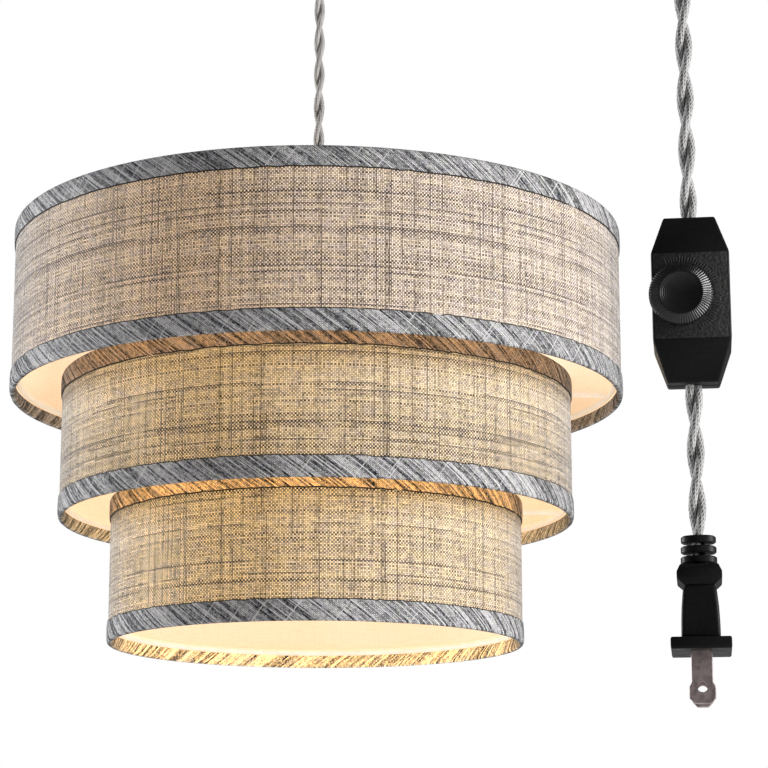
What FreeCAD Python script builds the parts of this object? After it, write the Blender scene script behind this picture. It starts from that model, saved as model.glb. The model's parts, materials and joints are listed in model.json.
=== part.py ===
"""Three-tier drum pendant on a twisted textile cord, with an in-line rotary dimmer and a two-blade plug.

The frame: +Z up, millimetres, origin where the lamp's ceiling hook meets the ceiling.  The cord runs from
the lamp over that hook, in a slack swag to the second hook, where the spare length hangs as a coil, and
down from there to the dimmer and the plug.
"""
import FreeCAD, Part
import math
import os

V = FreeCAD.Vector
UP = V(0, 0, 1)

# ---- driving dimensions: cord and hooks -------------------------------------------------------------
cord_d = 5.6                # over the two twisted strands
rub = 0.2                   # a cord lies this far off what it rests on
hook_wire_d = 6.0
hook_bowl_r = 17.5          # centreline of the hook's bowl
hook_tip_deg = 25.0         # how far the open tip rises past the bowl's side
hook_drop = 14.0            # ceiling to the top of the bowl's circle
hook_plate_d = 16.0
hook_plate_t = 2.0
screw_d = 5.0               # plain shank that goes into the ceiling
screw_len = 30.0
screw_tip_len = 7.0
screw_tip_r = 0.4

swag_bearing_deg = -74.78   # direction from the lamp's hook to the second hook
hook_spacing = 396.0
drawn_spacing = 396.0       # the spacing that the swag's route was drawn for
coil_turn_r = 33.5          # middle of the coil's turns
coil_bundle_r = 14.0        # round section of the bundle
coil_tie_t = 1.2
coil_tie_deg = 15.0
coil_tie_at_deg = (215.0, 300.0)
drop_offset = 44.0          # the cord's end leaves the coil this far out from its middle
drop_turn_deg = -9.28       # the dimmer and the plug are turned this far about the cord
drop_swing_down = 26.0      # the coil's middle down to where the hanging end swings
swing_down = 8.0            # the hook's wire down to where the lamp swings
swing_gap = 0.3             # the swinging cord's round top to the swag's end

# ---- driving dimensions: shade ----------------------------------------------------------------------
shade_top_z = -196.0
tier_radius = (150.0, 125.0, 100.0)
tier_bottom_z = (-280.0, -340.0, -400.0)
fabric_t = 0.8
liner_t = 0.8
ring_wire_d = 3.0
trim_t = 0.6
trim_outer_h = 10.0
trim_inner_h = 5.5
ring_play = 0.05            # the wire's clearance to the liner and the trim
spoke_angles_deg = (4.0, 124.0, 244.0)
spoke_hole_play = 0.3
hole_past = 3.0             # a hole is cut this far past the wall
arm_overlap = 2.0           # a spider arm reaches this far over the washer

# ---- driving dimensions: spider, socket, bulb -------------------------------------------------------
washer_drop = 14.0          # shade's top edge to the washer's middle
washer_t = 1.6
washer_r = 27.0
socket_wall = 2.6
shell_room = 2.2            # screw shell to the socket's wall
socket_skirt_len = 36.0     # washer down to the socket's mouth
socket_upper_len = 20.0     # washer up to the cap's joint
shoulder_r = 23.0
shoulder_h = 4.0
shade_ring_r = 25.5
shade_ring_h = 6.5
slip_play = 0.3
cap_h = 24.0
cap_top_r = 9.0
cap_wall = 2.4
cap_side = 0.45             # share of the cap's height where its side is straight
cap_hollow = 0.40           # the same, inside
cap_cord_play = 0.3
cap_top_edge = 1.5          # the cap's hollow is this much narrower at its top
grip_h = 14.0
grip_r = 7.0
grip_screw_r = 1.5
grip_screw_out = 1.2        # how far its head stands out
insulator_t = 5.0
terminal_r = 2.6
terminal_h = 2.0
terminal_at = 0.6           # share of the bore's radius
tongue_l = 9.0              # the centre contact's tongue, its end folded up
tongue_w = 4.0
tongue_t = 0.5
tongue_leg = 1.0
tongue_gap = 0.1            # bulb's tip to the tongue
shell_t = 0.5
shell_up = 1.0              # the shell starts this far above the bulb cap's edge
mouth_down = 6.0            # the bulb cap's edge down to the socket's mouth
bulb_cap_r = 13.1
bulb_cap_len = 24.0
bulb_cap_play = 0.6
bulb_cap_wall = 1.2
contact_r = 4.5
contact_h = 0.9
contact_edge = 1.2
bulb_glass_h = 3.6
bulb_glass_in = 1.5
globe_r = 30.0
globe_wall = 1.4
globe_drop = 50.0           # the bulb cap's edge to the middle of the globe
housing_lip = 0.5           # the housing's neck past the bulb's cap
housing_step = (1.0, 4.0)   # its small shoulder: out and down
housing_waist = 5.0
housing_rim_r = 24.0

# ---- driving dimensions: dimmer ---------------------------------------------------------------------
dimmer_z = -341.3           # middle of the dimmer
dimmer_half_h = 26.6
dimmer_waist_h = 13.9       # half height of its parallel middle
dimmer_half_w = 12.1
dimmer_end_half_w = 8.0
dimmer_front_y = 10.2       # parting plane to the front face
dimmer_back_y = 10.2
dimmer_end_drop = 5.0       # the front and back faces fall back this much at the ends
dimmer_wall = 1.8
knob_r = 9.8
knob_h = 3.6
knob_gap = 0.4
knob_over = 0.9             # how far the dial stands past the left side
knob_dish = 1.4
knob_rim = 1.6
knob_boss_r = 2.2
knob_boss_in = 0.2          # the boss stops this far under the rim
shaft_in = 0.6              # the shaft stops this far under the dish
shaft_end_gap = 0.3
shaft_r = 3.0
shaft_play = 0.25
pot_r = 6.8
pot_h = 5.0
pot_floor = 1.0
board_h = 28.0
board_t = 1.6
board_play = 0.4            # to the side wall
board_to_post = 0.6
dimmer_screw_r = 1.5
dimmer_screw_head = 1.2
dimmer_screw_short = 1.0    # the screw stops this far short of the front wall
dimmer_screw_z = 10.5       # the two screws, above and below the middle
post_r = 2.6
post_inset = 0.6            # post to the side wall
clamp_h = 3.0
clamp_wall = 0.8
clamp_in = 1.6              # end wall to the clamp
clamp_play = 0.3
seat_play = 0.05

# ---- driving dimensions: plug -----------------------------------------------------------------------
plug_top_z = -415.3
relief_bar_h = 2.55
relief_pitch = 3.15
relief_w = 11.1
relief_depth = 9.0
relief_rib = 1.2
relief_rib_depth = 2.4
relief_rib_in = 0.9         # the ribs' middles inside the bars' faces
relief_bars = 3
collar_h = 6.3
collar_w = 13.7
collar_depth = 18.0
collar_slope = (1.1, 2.4)   # its sloping top: in and down
collar_under = 1.9          # height of its slope down to the neck
cord_seat = 5.0             # how deep the cord goes into the collar
plug_body_h = 16.5
plug_neck_w = 9.3
plug_neck_depth = 16.0
plug_foot_w = 11.8
plug_foot_depth = 20.0
plug_belly = ((0.0, 0.0), (0.14, 0.42), (0.42, 0.78), (0.72, 0.95), (1.0, 1.0))   # share down, share widened
flange_h = 3.45
flange_w = 18.3
flange_depth = 26.0
blade_gap = 12.7            # between the middles of the two blades
blade_t = 1.5
blade_len = 15.9
blade_w = 6.35
blade_wide_w = 7.94
blade_step = 10.2           # face of the plug to where the wide blade widens
blade_hole_r = 1.6
blade_hole_up = 5.0         # tip to the hole's middle
blade_root = 8.0            # length of the blade held inside the plug
blade_ramp = (0.8, 0.7)     # the wide blade's step, above and below blade_step
blade_tip = (1.5, 1.6)      # its tip's corners: in and up

# ---- values that follow -----------------------------------------------------------------------------
cord_r = cord_d / 2
hook_wire_r = hook_wire_d / 2
ring_wire_r = ring_wire_d / 2
wall_t = fabric_t + liner_t
bowl_z = -hook_drop - hook_bowl_r
saddle_z = bowl_z - hook_bowl_r                      # middle of the wire that carries the cord
hook_bend_r = hook_wire_r + cord_r + rub             # the cord's centreline round the wire
swing_z = saddle_z - swing_down                      # the lamp swings about the cord here
coil_z = bowl_z - coil_turn_r
drop_swing_z = coil_z - drop_swing_down
swag_dir = V(math.cos(math.radians(swag_bearing_deg)), math.sin(math.radians(swag_bearing_deg)), 0)
swag_side = V(-swag_dir.y, swag_dir.x, 0)
lamp = swag_dir * -hook_bend_r                       # the lamp's axis
drop = swag_dir * (hook_spacing + drop_offset)       # the axis of the cord's hanging end
coil_middle = swag_dir * hook_spacing + UP * coil_z

ring_up = trim_t + trim_inner_h + ring_wire_r + ring_play       # bottom edge to the bottom ring
ring_down = trim_t + ring_wire_r + ring_play                    # top edge to the top ring
tier_top_z = (shade_top_z,) + tuple(z + ring_up + ring_down for z in tier_bottom_z[:-1])
ring_in = wall_t + ring_wire_r + ring_play                      # outer face to the ring's middle
washer_z = shade_top_z - washer_drop
washer_top = washer_z + washer_t / 2
washer_under = washer_z - washer_t / 2
socket_r = bulb_cap_r + bulb_cap_play + shell_t + shell_room + socket_wall
mouth_z = washer_z - socket_skirt_len
joint_z = washer_z + socket_upper_len
cap_top_z = joint_z + cap_h
cord_top_z = cap_top_z + grip_h                                  # the cord leaves the grip
cap_edge_z = mouth_z + mouth_down                                # lower edge of the bulb's screw cap
bulb_cap_top_z = cap_edge_z + bulb_cap_len
bulb_tip_z = bulb_cap_top_z + bulb_glass_h + contact_h
insulator_z = bulb_tip_z + tongue_gap + 3 * tongue_t             # underside of the socket's insulator
shell_r = bulb_cap_r + bulb_cap_play
globe_z = cap_edge_z - globe_drop
knob_x = -(dimmer_half_w - knob_r + knob_over)                   # middle of the dial
cord_stop = dimmer_half_h - dimmer_wall - clamp_in - clamp_h     # dimmer's middle to the cord's ends in it

# The cord's route: (distance from the lamp's hook towards the second hook, height).  It goes up and over
# the hook's wire in a few points that follow the wire's size, and on in points chosen by hand.
over_hook = [(-hook_bend_r, swing_z + cord_r + swing_gap), (-hook_bend_r, saddle_z + hook_bend_r / 3),
             (-0.6 * hook_bend_r, saddle_z + 5.2 / 6 * hook_bend_r),
             (0.05 * hook_bend_r, saddle_z + 1.05 * hook_bend_r)]
swag_by_hand = [(9.0, -46.4), (25.0, -51.9), (57.0, -61.2), (112.0, -71.7), (176.0, -75.3), (240.0, -69.6),
                (302.0, -55.2), (345.0, -40.0), (365.0, -31.6), (378.0, -25.6)]
swag_points = over_hook + [(along * hook_spacing / drawn_spacing, height) for along, height in swag_by_hand]


# ---- helpers ----------------------------------------------------------------------------------------
def emit(node, shapes, at=V(0, 0, 0), turn_deg=0.0):
    """Write one node: a solid, or separate solids as a group, turned about its own Z and moved into place."""
    group = shapes if isinstance(shapes, list) else [shapes]
    solids = []
    for shape in group:
        solids += [solid.rotated(V(0, 0, 0), UP, turn_deg).translated(at) for solid in shape.Solids]
    out = solids[0] if len(solids) == 1 else Part.makeCompound(solids)
    assert out.isValid(), node
    out.exportStep("parts/" + node + ".step")
    print("%-20s %2d solid(s) %10.1f mm3" % (node, len(solids), out.Volume))
    return out


def pipe(r_in, r_out, z_low, z_high):
    """A round pipe about Z."""
    outer = Part.makeCylinder(r_out, z_high - z_low, V(0, 0, z_low))
    return outer.cut(Part.makeCylinder(r_in, z_high - z_low, V(0, 0, z_low)))


def turned(outline):
    """A solid turned about Z from an (r, z) outline."""
    points = [V(r, 0, z) for r, z in outline]
    face = Part.Face(Part.makePolygon(points + points[:1]))
    return face.revolve(V(0, 0, 0), UP, 360)


def rod(start, end, radius):
    return Part.makeCylinder(radius, (end - start).Length, start, end - start)


def box(x_size, y_size, z_size, x=0.0, y=0.0, z=0.0):
    """A box centred on (x, y, z)."""
    return Part.makeBox(x_size, y_size, z_size, V(x - x_size / 2, y - y_size / 2, z - z_size / 2))


def radial(angle_deg, r, z):
    a = math.radians(angle_deg)
    return V(r * math.cos(a), r * math.sin(a), z)


def section(half_w, y_front, y_back, z):
    """A rectangular section of a housing, as a wire."""
    corners = [V(-half_w, -y_front, z), V(half_w, -y_front, z), V(half_w, y_back, z), V(-half_w, y_back, z)]
    return Part.makePolygon(corners + corners[:1])


def centred(width, depth, z):
    """A rectangular section with its middle on the axis."""
    return section(width / 2, depth / 2, depth / 2, z)


def lofted(sections):
    return Part.makeLoft(sections, True, True)


def route_wire(points):
    """Straight runs joined by tangent arcs, each as large as its two runs allow."""
    edges = []
    radii = []
    start = points[0]
    for before, corner, after in zip(points, points[1:], points[2:]):
        run_in = corner - before
        run_out = after - corner
        turn = run_in.getAngle(run_out)
        reach = 0.45 * min(run_in.Length, run_out.Length)
        radii.append(reach / math.tan(turn / 2))
        arc_in = corner - run_in.normalize() * reach
        arc_out = corner + run_out.normalize() * reach
        chord_mid = (arc_in + arc_out) * 0.5
        bulge = (corner - chord_mid).normalize() * radii[-1] * (1 - math.cos(turn / 2))
        edges.append(Part.LineSegment(start, arc_in).toShape())
        edges.append(Part.Arc(arc_in, chord_mid + bulge, arc_out).toShape())
        start = arc_out
    edges.append(Part.LineSegment(start, points[-1]).toShape())
    return Part.Wire(edges), radii


def swept(wire, radius):
    """A round bar along a wire."""
    start = wire.Edges[0]
    at = start.valueAt(start.FirstParameter)
    along = start.tangentAt(start.FirstParameter)
    ring = Part.Wire([Part.makeCircle(radius, at, along)])
    bar = wire.makePipeShell([ring], True, False)
    print("   bar %.1f mm long, volume against section x length: %.4f"
          % (wire.Length, bar.Volume / (math.pi * radius ** 2 * wire.Length)))
    return bar


# ---- hooks, swag, coil ------------------------------------------------------------------------------
def hook(at):
    """A screw-in ceiling hook: shank, plate, and a round bowl that is open on one side."""
    def on_bowl(angle_deg):
        a = math.radians(angle_deg)
        return at + UP * bowl_z + (swag_side * math.cos(a) + UP * math.sin(a)) * hook_bowl_r

    middle = (90 + 360 + hook_tip_deg) / 2
    bowl = Part.Wire([Part.Arc(on_bowl(90), on_bowl((90 + middle) / 2), on_bowl(middle)).toShape(),
                      Part.Arc(on_bowl(middle), on_bowl((middle + 360 + hook_tip_deg) / 2),
                               on_bowl(360 + hook_tip_deg)).toShape()])
    body = swept(bowl, hook_wire_r)
    body = body.fuse(Part.makeSphere(hook_wire_r, on_bowl(360 + hook_tip_deg)))
    body = body.fuse(Part.makeSphere(hook_wire_r, on_bowl(90)))
    body = body.fuse(rod(on_bowl(90), at, hook_wire_r))
    body = body.fuse(Part.makeCylinder(hook_plate_d / 2, hook_plate_t, at - UP * hook_plate_t))
    body = body.fuse(rod(at, at + UP * screw_len, screw_d / 2))
    tip = Part.makeCone(screw_d / 2, screw_tip_r, screw_tip_len, at + UP * screw_len)
    return body.fuse(tip).removeSplitter()


def swag():
    points = [swag_dir * along + UP * height for along, height in swag_points]
    wire, radii = route_wire(points)
    print("   swag radii", [round(r, 1) for r in radii])
    return swept(wire, cord_r)


def coil_ties():
    ties = []
    for at_deg in coil_tie_at_deg:
        band = Part.makeTorus(coil_turn_r, coil_bundle_r + coil_tie_t, V(0, 0, 0), UP, 0, 360, coil_tie_deg)
        band = band.cut(Part.makeTorus(coil_turn_r, coil_bundle_r, V(0, 0, 0), UP))
        band.rotate(V(0, 0, 0), UP, at_deg - coil_tie_deg / 2)
        ties.append(stood_up(band))
    return ties


def stood_up(shape):
    """Turn a ring that lies flat into the upright plane of the swag, at the coil's place."""
    plane = FreeCAD.Matrix(swag_dir.x, 0, -swag_side.x, coil_middle.x,
                           swag_dir.y, 0, -swag_side.y, coil_middle.y,
                           0, 1, 0, coil_middle.z,
                           0, 0, 0, 1)
    # The ring's own X becomes the swag's direction and its Y becomes up.
    standing = shape.copy()
    standing.Placement = FreeCAD.Placement(plane).multiply(shape.Placement)
    return standing


# ---- shade ------------------------------------------------------------------------------------------
def spoke_holes(radius, z):
    """The three radial holes that a tier's wall has for the spokes."""
    r = ring_wire_r + spoke_hole_play
    inner_r = radius - ring_in - hole_past
    outer_r = radius + hole_past
    return [rod(radial(a, inner_r, z), radial(a, outer_r, z), r) for a in spoke_angles_deg]


def trim(radius, edge_z, inward, wall):
    """Bias tape folded over an edge; inward is +1 at a bottom edge and -1 at a top edge."""
    inner_r = radius - wall - trim_t
    outer_r = radius + trim_t
    legs = sorted((edge_z, edge_z + inward * trim_outer_h))
    fold = sorted((edge_z, edge_z + inward * trim_inner_h + inward * trim_t))
    web = sorted((edge_z, edge_z + inward * trim_t))
    tape = pipe(radius, outer_r, *legs)
    tape = tape.fuse(pipe(inner_r, inner_r + trim_t, *fold))
    return tape.fuse(pipe(inner_r, outer_r, *web)).removeSplitter()


def tiers():
    """Each tier's fabric, liner, rings and trims, and the spokes that carry the lower two."""
    outer_ring = None
    for i, (radius, low, high) in enumerate(zip(tier_radius, tier_bottom_z, tier_top_z), start=1):
        ring_r = radius - ring_in
        top_ring_z = high - ring_down
        holes = spoke_holes(radius, top_ring_z) if i > 1 else []
        fabric = pipe(radius - fabric_t, radius, low + trim_t, high - trim_t)
        liner = pipe(radius - wall_t, radius - fabric_t, low + trim_t, high - trim_t)
        top_trim = trim(radius, high, -1, wall_t + ring_wire_d + 2 * ring_play)
        bottom_trim = trim(radius, low, 1, wall_t)
        top_ring = Part.makeTorus(ring_r, ring_wire_r, V(0, 0, top_ring_z), UP)
        bottom_ring = Part.makeTorus(ring_r, ring_wire_r, V(0, 0, low + ring_up), UP)
        if i == 1:
            top_trim = top_trim.cut(arm_notches())
        else:
            top_trim = top_trim.cut(holes)
            spokes = [rod(radial(a, ring_r, top_ring_z), radial(a, outer_ring_r, top_ring_z), ring_wire_r)
                      for a in spoke_angles_deg]
            emit("spokes_%d" % i, [spoke.cut(top_ring).cut(outer_ring) for spoke in spokes], lamp)
        emit("fabric_%d" % i, fabric.cut(holes) if holes else fabric, lamp)
        emit("liner_%d" % i, liner.cut(holes) if holes else liner, lamp)
        emit("top_trim_%d" % i, top_trim, lamp)
        emit("bottom_trim_%d" % i, bottom_trim, lamp)
        emit("top_ring_%d" % i, top_ring, lamp)
        emit("bottom_ring_%d" % i, bottom_ring, lamp)
        outer_ring = bottom_ring
        outer_ring_r = ring_r


def arm_ends(angle_deg):
    """A spider arm's two ends: in the top ring and in the washer."""
    outer = radial(angle_deg, tier_radius[0] - ring_in, shade_top_z - ring_down)
    inner = radial(angle_deg, washer_r - arm_overlap, washer_z)
    return inner, outer


def arm_notches():
    return [rod(*arm_ends(a), ring_wire_r + spoke_hole_play) for a in spoke_angles_deg]


def spider():
    washer = pipe(socket_r + slip_play, washer_r, washer_under, washer_top)
    top_ring = Part.makeTorus(tier_radius[0] - ring_in, ring_wire_r, V(0, 0, shade_top_z - ring_down), UP)
    clamp_keep_out = Part.makeCylinder(shade_ring_r + slip_play, shade_ring_h, V(0, 0, washer_under - shade_ring_h))
    arms = []
    for angle in spoke_angles_deg:
        arm = rod(*arm_ends(angle), ring_wire_r)
        arms.append(arm.cut([top_ring, washer, clamp_keep_out]))
    emit("spider_washer", washer, lamp)
    emit("spider_arms", [largest(arm) for arm in arms], lamp)


def largest(shape):
    return max(shape.Solids, key=lambda solid: solid.Volume)


# ---- socket and bulb --------------------------------------------------------------------------------
def socket():
    bore = socket_r - socket_wall
    body = pipe(bore, socket_r, mouth_z, joint_z)
    body = body.fuse(pipe(bore, shoulder_r, washer_top, washer_top + shoulder_h)).removeSplitter()
    emit("socket_body", body, lamp)

    cord_hole = cord_r + cap_cord_play
    cap_outline = [(socket_r, joint_z), (socket_r, joint_z + cap_h * cap_side), (cap_top_r, cap_top_z),
                   (cord_hole, cap_top_z), (cord_hole, cap_top_z - cap_wall),
                   (cap_top_r - cap_top_edge, cap_top_z - cap_wall), (bore, joint_z + cap_h * cap_hollow),
                   (bore, joint_z)]
    emit("socket_cap", turned(cap_outline), lamp)

    grip = pipe(cord_r, grip_r, cap_top_z, cord_top_z)
    screw_z = cap_top_z + grip_h / 2
    screw_end = V(grip_r + grip_screw_out, 0, screw_z)
    grip_screw = rod(V(cord_r, 0, screw_z), screw_end, grip_screw_r)
    emit("cord_grip", grip.cut(rod(V(0, 0, screw_z), screw_end, grip_screw_r)), lamp)
    emit("cord_grip_screw", grip_screw.cut(Part.makeCylinder(cord_r, grip_h, V(0, 0, cap_top_z))), lamp)

    emit("shade_ring", pipe(socket_r + slip_play / 6, shade_ring_r, washer_under - shade_ring_h, washer_under), lamp)

    insulator = Part.makeCylinder(bore - seat_play, insulator_t, V(0, 0, insulator_z))
    terminal_x = bore * terminal_at
    terminal_z = insulator_z + insulator_t
    emit("socket_insulator", insulator, lamp)
    emit("socket_shell", pipe(shell_r, shell_r + shell_t, cap_edge_z + shell_up, insulator_z), lamp)
    tongue = box(tongue_l, tongue_w, tongue_t, z=insulator_z - 2.5 * tongue_t)
    leg_x = (tongue_l - tongue_leg) / 2
    leg = box(tongue_leg, tongue_w, 3 * tongue_t, x=leg_x, z=insulator_z - 1.5 * tongue_t)
    emit("socket_contact", tongue.fuse(leg).removeSplitter(), lamp)
    screws = [Part.makeCylinder(terminal_r, terminal_h, V(x, 0, terminal_z)) for x in (-terminal_x, terminal_x)]
    emit("socket_terminals", screws, lamp)


def bulb():
    cap = pipe(bulb_cap_r - bulb_cap_wall, bulb_cap_r, cap_edge_z, bulb_cap_top_z)
    lid = Part.makeCylinder(bulb_cap_r, bulb_cap_wall, V(0, 0, bulb_cap_top_z - bulb_cap_wall))
    cap = cap.fuse(lid).removeSplitter()
    emit("bulb_cap", cap, lamp)
    glass = Part.makeCone(bulb_cap_r - bulb_glass_in, contact_r, bulb_glass_h, V(0, 0, bulb_cap_top_z))
    emit("bulb_insulator", glass, lamp)
    emit("bulb_contact", Part.makeCone(contact_r, contact_r - contact_edge, contact_h,
                                       V(0, 0, bulb_cap_top_z + bulb_glass_h)), lamp)
    rim_z = globe_z + math.sqrt(globe_r ** 2 - housing_rim_r ** 2)
    neck = cap_edge_z
    neck_r = bulb_cap_r + housing_lip
    housing = turned([(0, neck), (neck_r, neck), (neck_r + housing_step[0], neck - housing_step[1]),
                      (housing_rim_r - housing_waist, (neck + rim_z) / 2), (housing_rim_r, rim_z), (0, rim_z)])
    emit("bulb_housing", housing, lamp)
    ball = Part.makeSphere(globe_r, V(0, 0, globe_z))
    ball = ball.cut(Part.makeSphere(globe_r - globe_wall, V(0, 0, globe_z)))
    above = Part.makeCylinder(2 * globe_r, 2 * globe_r, V(0, 0, rim_z))
    emit("bulb_globe", ball.cut(above), lamp)


# ---- dimmer -----------------------------------------------------------------------------------------
def half_housing(front, inset):
    """One half of the dimmer's outer form, or of its hollow when inset is a wall."""
    depth = (dimmer_front_y if front else dimmer_back_y) - inset
    end_depth = depth - dimmer_end_drop
    stations = [(-dimmer_half_h + inset, dimmer_end_half_w - inset, end_depth),
                (-dimmer_waist_h, dimmer_half_w - inset, depth),
                (dimmer_waist_h, dimmer_half_w - inset, depth),
                (dimmer_half_h - inset, dimmer_end_half_w - inset, end_depth)]
    wires = []
    for z, half_w, y in stations:
        wires.append(section(half_w, y, 0, z) if front else section(half_w, 0, y, z))
    return lofted(wires)


def dimmer():
    at = drop + UP * dimmer_z
    cord_way = Part.makeCylinder(cord_r, 2 * dimmer_half_h + 2, V(0, 0, -dimmer_half_h - 1))
    shaft_way = rod(V(knob_x, -dimmer_front_y - 2, 0), V(knob_x, 0, 0), shaft_r + shaft_play)
    posts = []
    screws = []
    for z in (-dimmer_screw_z, dimmer_screw_z):
        here = V(dimmer_half_w - dimmer_wall - post_inset - post_r, 0, z)
        posts.append(here)
        under_head = here + V(0, dimmer_back_y - dimmer_screw_head, 0)
        head = rod(under_head, here + V(0, dimmer_back_y, 0), 2 * dimmer_screw_r)
        shank_end = here + V(0, -dimmer_front_y + dimmer_wall + dimmer_screw_short, 0)
        shank = rod(shank_end, under_head, dimmer_screw_r)
        screws.append(head.fuse(shank).removeSplitter())
    front = half_housing(True, 0).cut(half_housing(True, dimmer_wall)).cut([cord_way, shaft_way])
    back = half_housing(False, 0).cut(half_housing(False, dimmer_wall)).cut(cord_way)
    for here in posts:
        front = front.fuse(rod(here + V(0, -dimmer_front_y + dimmer_wall / 2, 0), here, post_r))
        back = back.fuse(rod(here, here + V(0, dimmer_back_y - dimmer_wall / 2, 0), post_r))
    emit("dimmer_front", front.cut(screws).removeSplitter(), at, drop_turn_deg)
    emit("dimmer_back", back.cut(screws).removeSplitter(), at, drop_turn_deg)
    emit("dimmer_screws", screws, at, drop_turn_deg)

    inner_front = -dimmer_front_y + dimmer_wall
    pot = rod(V(knob_x, inner_front, 0), V(knob_x, inner_front + pot_h, 0), pot_r)
    floor_y = inner_front + pot_h - pot_floor
    well = rod(V(knob_x, inner_front, 0), V(knob_x, floor_y, 0), shaft_r + shaft_play)
    emit("dimmer_pot", pot.cut(well), at, drop_turn_deg)
    board_y = inner_front + pot_h + board_t / 2
    board_w = 2 * (dimmer_half_w - dimmer_wall - post_r) - post_inset - board_play - board_to_post
    board_x = -(dimmer_half_w - dimmer_wall - board_w / 2 - board_play)
    emit("dimmer_board", box(board_w, board_t, board_h, x=board_x, y=board_y), at, drop_turn_deg)
    rim_y = -dimmer_front_y - knob_gap
    shaft = rod(V(knob_x, rim_y - knob_h + knob_dish + shaft_in, 0),
                V(knob_x, floor_y - shaft_end_gap, 0), shaft_r)
    emit("dimmer_shaft", shaft, at, drop_turn_deg)
    knob = rod(V(knob_x, rim_y, 0), V(knob_x, rim_y - knob_h, 0), knob_r)
    dish_r = (knob_r - knob_rim) ** 2 / (2 * knob_dish) + knob_dish / 2
    dish = Part.makeSphere(dish_r, V(knob_x, rim_y - knob_h - dish_r + knob_dish, 0))
    boss = rod(V(knob_x, rim_y - 1, 0), V(knob_x, rim_y - knob_h + knob_boss_in, 0), knob_boss_r)
    knob = knob.cut(dish).fuse(boss).cut(shaft).removeSplitter()
    emit("dimmer_knob", largest(knob), at, drop_turn_deg)

    clamps = []
    for side in (-1, 1):
        z = side * (dimmer_half_h - dimmer_wall - clamp_in - clamp_h / 2)
        half_w = dimmer_end_half_w - dimmer_wall
        clamp = box(2 * (half_w - clamp_play), 2 * (cord_r + clamp_wall), clamp_h, z=z)
        clamps.append(clamp.cut(cord_way))
    emit("dimmer_clamps", clamps, at, drop_turn_deg)


# ---- plug -------------------------------------------------------------------------------------------
def blade(y, wide):
    face_z = plug_face_z
    tip_z = face_z - blade_len
    half = blade_w / 2
    tip_half = (blade_wide_w if wide else blade_w) / 2
    step_z = face_z - blade_step
    corner_in, corner_up = blade_tip
    side = [(half, face_z + blade_root), (tip_half, step_z - blade_ramp[1]), (tip_half, tip_z + corner_up),
            (tip_half - corner_in, tip_z)]
    if wide:
        side.insert(1, (half, step_z + blade_ramp[0]))
    outline = side + [(-x, z) for x, z in reversed(side)]
    points = [V(x, y - blade_t / 2, z) for x, z in outline]
    solid = Part.Face(Part.makePolygon(points + points[:1])).extrude(V(0, blade_t, 0))
    hole_z = tip_z + blade_hole_up
    return solid.cut(rod(V(0, y - blade_t, hole_z), V(0, y + blade_t, hole_z), blade_hole_r))


collar_top_z = plug_top_z - relief_bars * relief_pitch
neck_z = collar_top_z - collar_h
foot_z = neck_z - plug_body_h
plug_face_z = foot_z - flange_h


def plug():
    blades = {"plug_blade_neutral": blade(-blade_gap / 2, True), "plug_blade_hot": blade(blade_gap / 2, False)}
    slope_in, slope_down = collar_slope
    collar = lofted([centred(collar_w - 2 * slope_in, collar_depth - 2 * slope_in, collar_top_z),
                     centred(collar_w, collar_depth, collar_top_z - slope_down),
                     centred(collar_w, collar_depth, neck_z + collar_under),
                     centred(plug_neck_w, plug_neck_depth, neck_z)])
    neck = lofted([centred(plug_neck_w + wider * (plug_foot_w - plug_neck_w),
                           plug_neck_depth + wider * (plug_foot_depth - plug_neck_depth),
                           neck_z - down * plug_body_h) for down, wider in plug_belly])
    flange = lofted([centred(flange_w, flange_depth, foot_z), centred(flange_w, flange_depth, plug_face_z)])
    body = collar.fuse([neck, flange])
    cord_way = Part.makeCylinder(cord_r, 2 * cord_seat, V(0, 0, collar_top_z - cord_seat))
    emit("plug_body", body.cut([cord_way] + list(blades.values())).removeSplitter(), drop, drop_turn_deg)
    for node, solid in blades.items():
        emit(node, solid, drop, drop_turn_deg)

    bars = []
    for k in range(relief_bars):
        bars.append(box(relief_w, relief_depth, relief_bar_h, z=plug_top_z - relief_bar_h / 2 - k * relief_pitch))
    relief_h = relief_bars * relief_pitch
    rib_y = relief_depth / 2 - relief_rib_in
    ribs = [box(relief_rib, relief_rib_depth, relief_h, y=y, z=plug_top_z - relief_h / 2)
            for y in (-rib_y, rib_y)]
    relief = bars[0].fuse(bars[1:] + ribs)
    way = Part.makeCylinder(cord_r + seat_play, 2 * relief_h, V(0, 0, collar_top_z - relief_h / 2))
    emit("plug_relief", relief.cut(way).removeSplitter(), drop, drop_turn_deg)


# ---- the free cord's plain solids -------------------------------------------------------------------
def hanging_cord(node, axis, top_z, bottom_z, ball_top):
    """A straight, loaded stretch; a ball at its top where it swings."""
    solid = Part.makeCylinder(cord_r, top_z - bottom_z, axis + UP * bottom_z)
    if ball_top:
        solid = solid.fuse(Part.makeSphere(cord_r, axis + UP * top_z)).removeSplitter()
    emit(node, solid)


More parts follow.
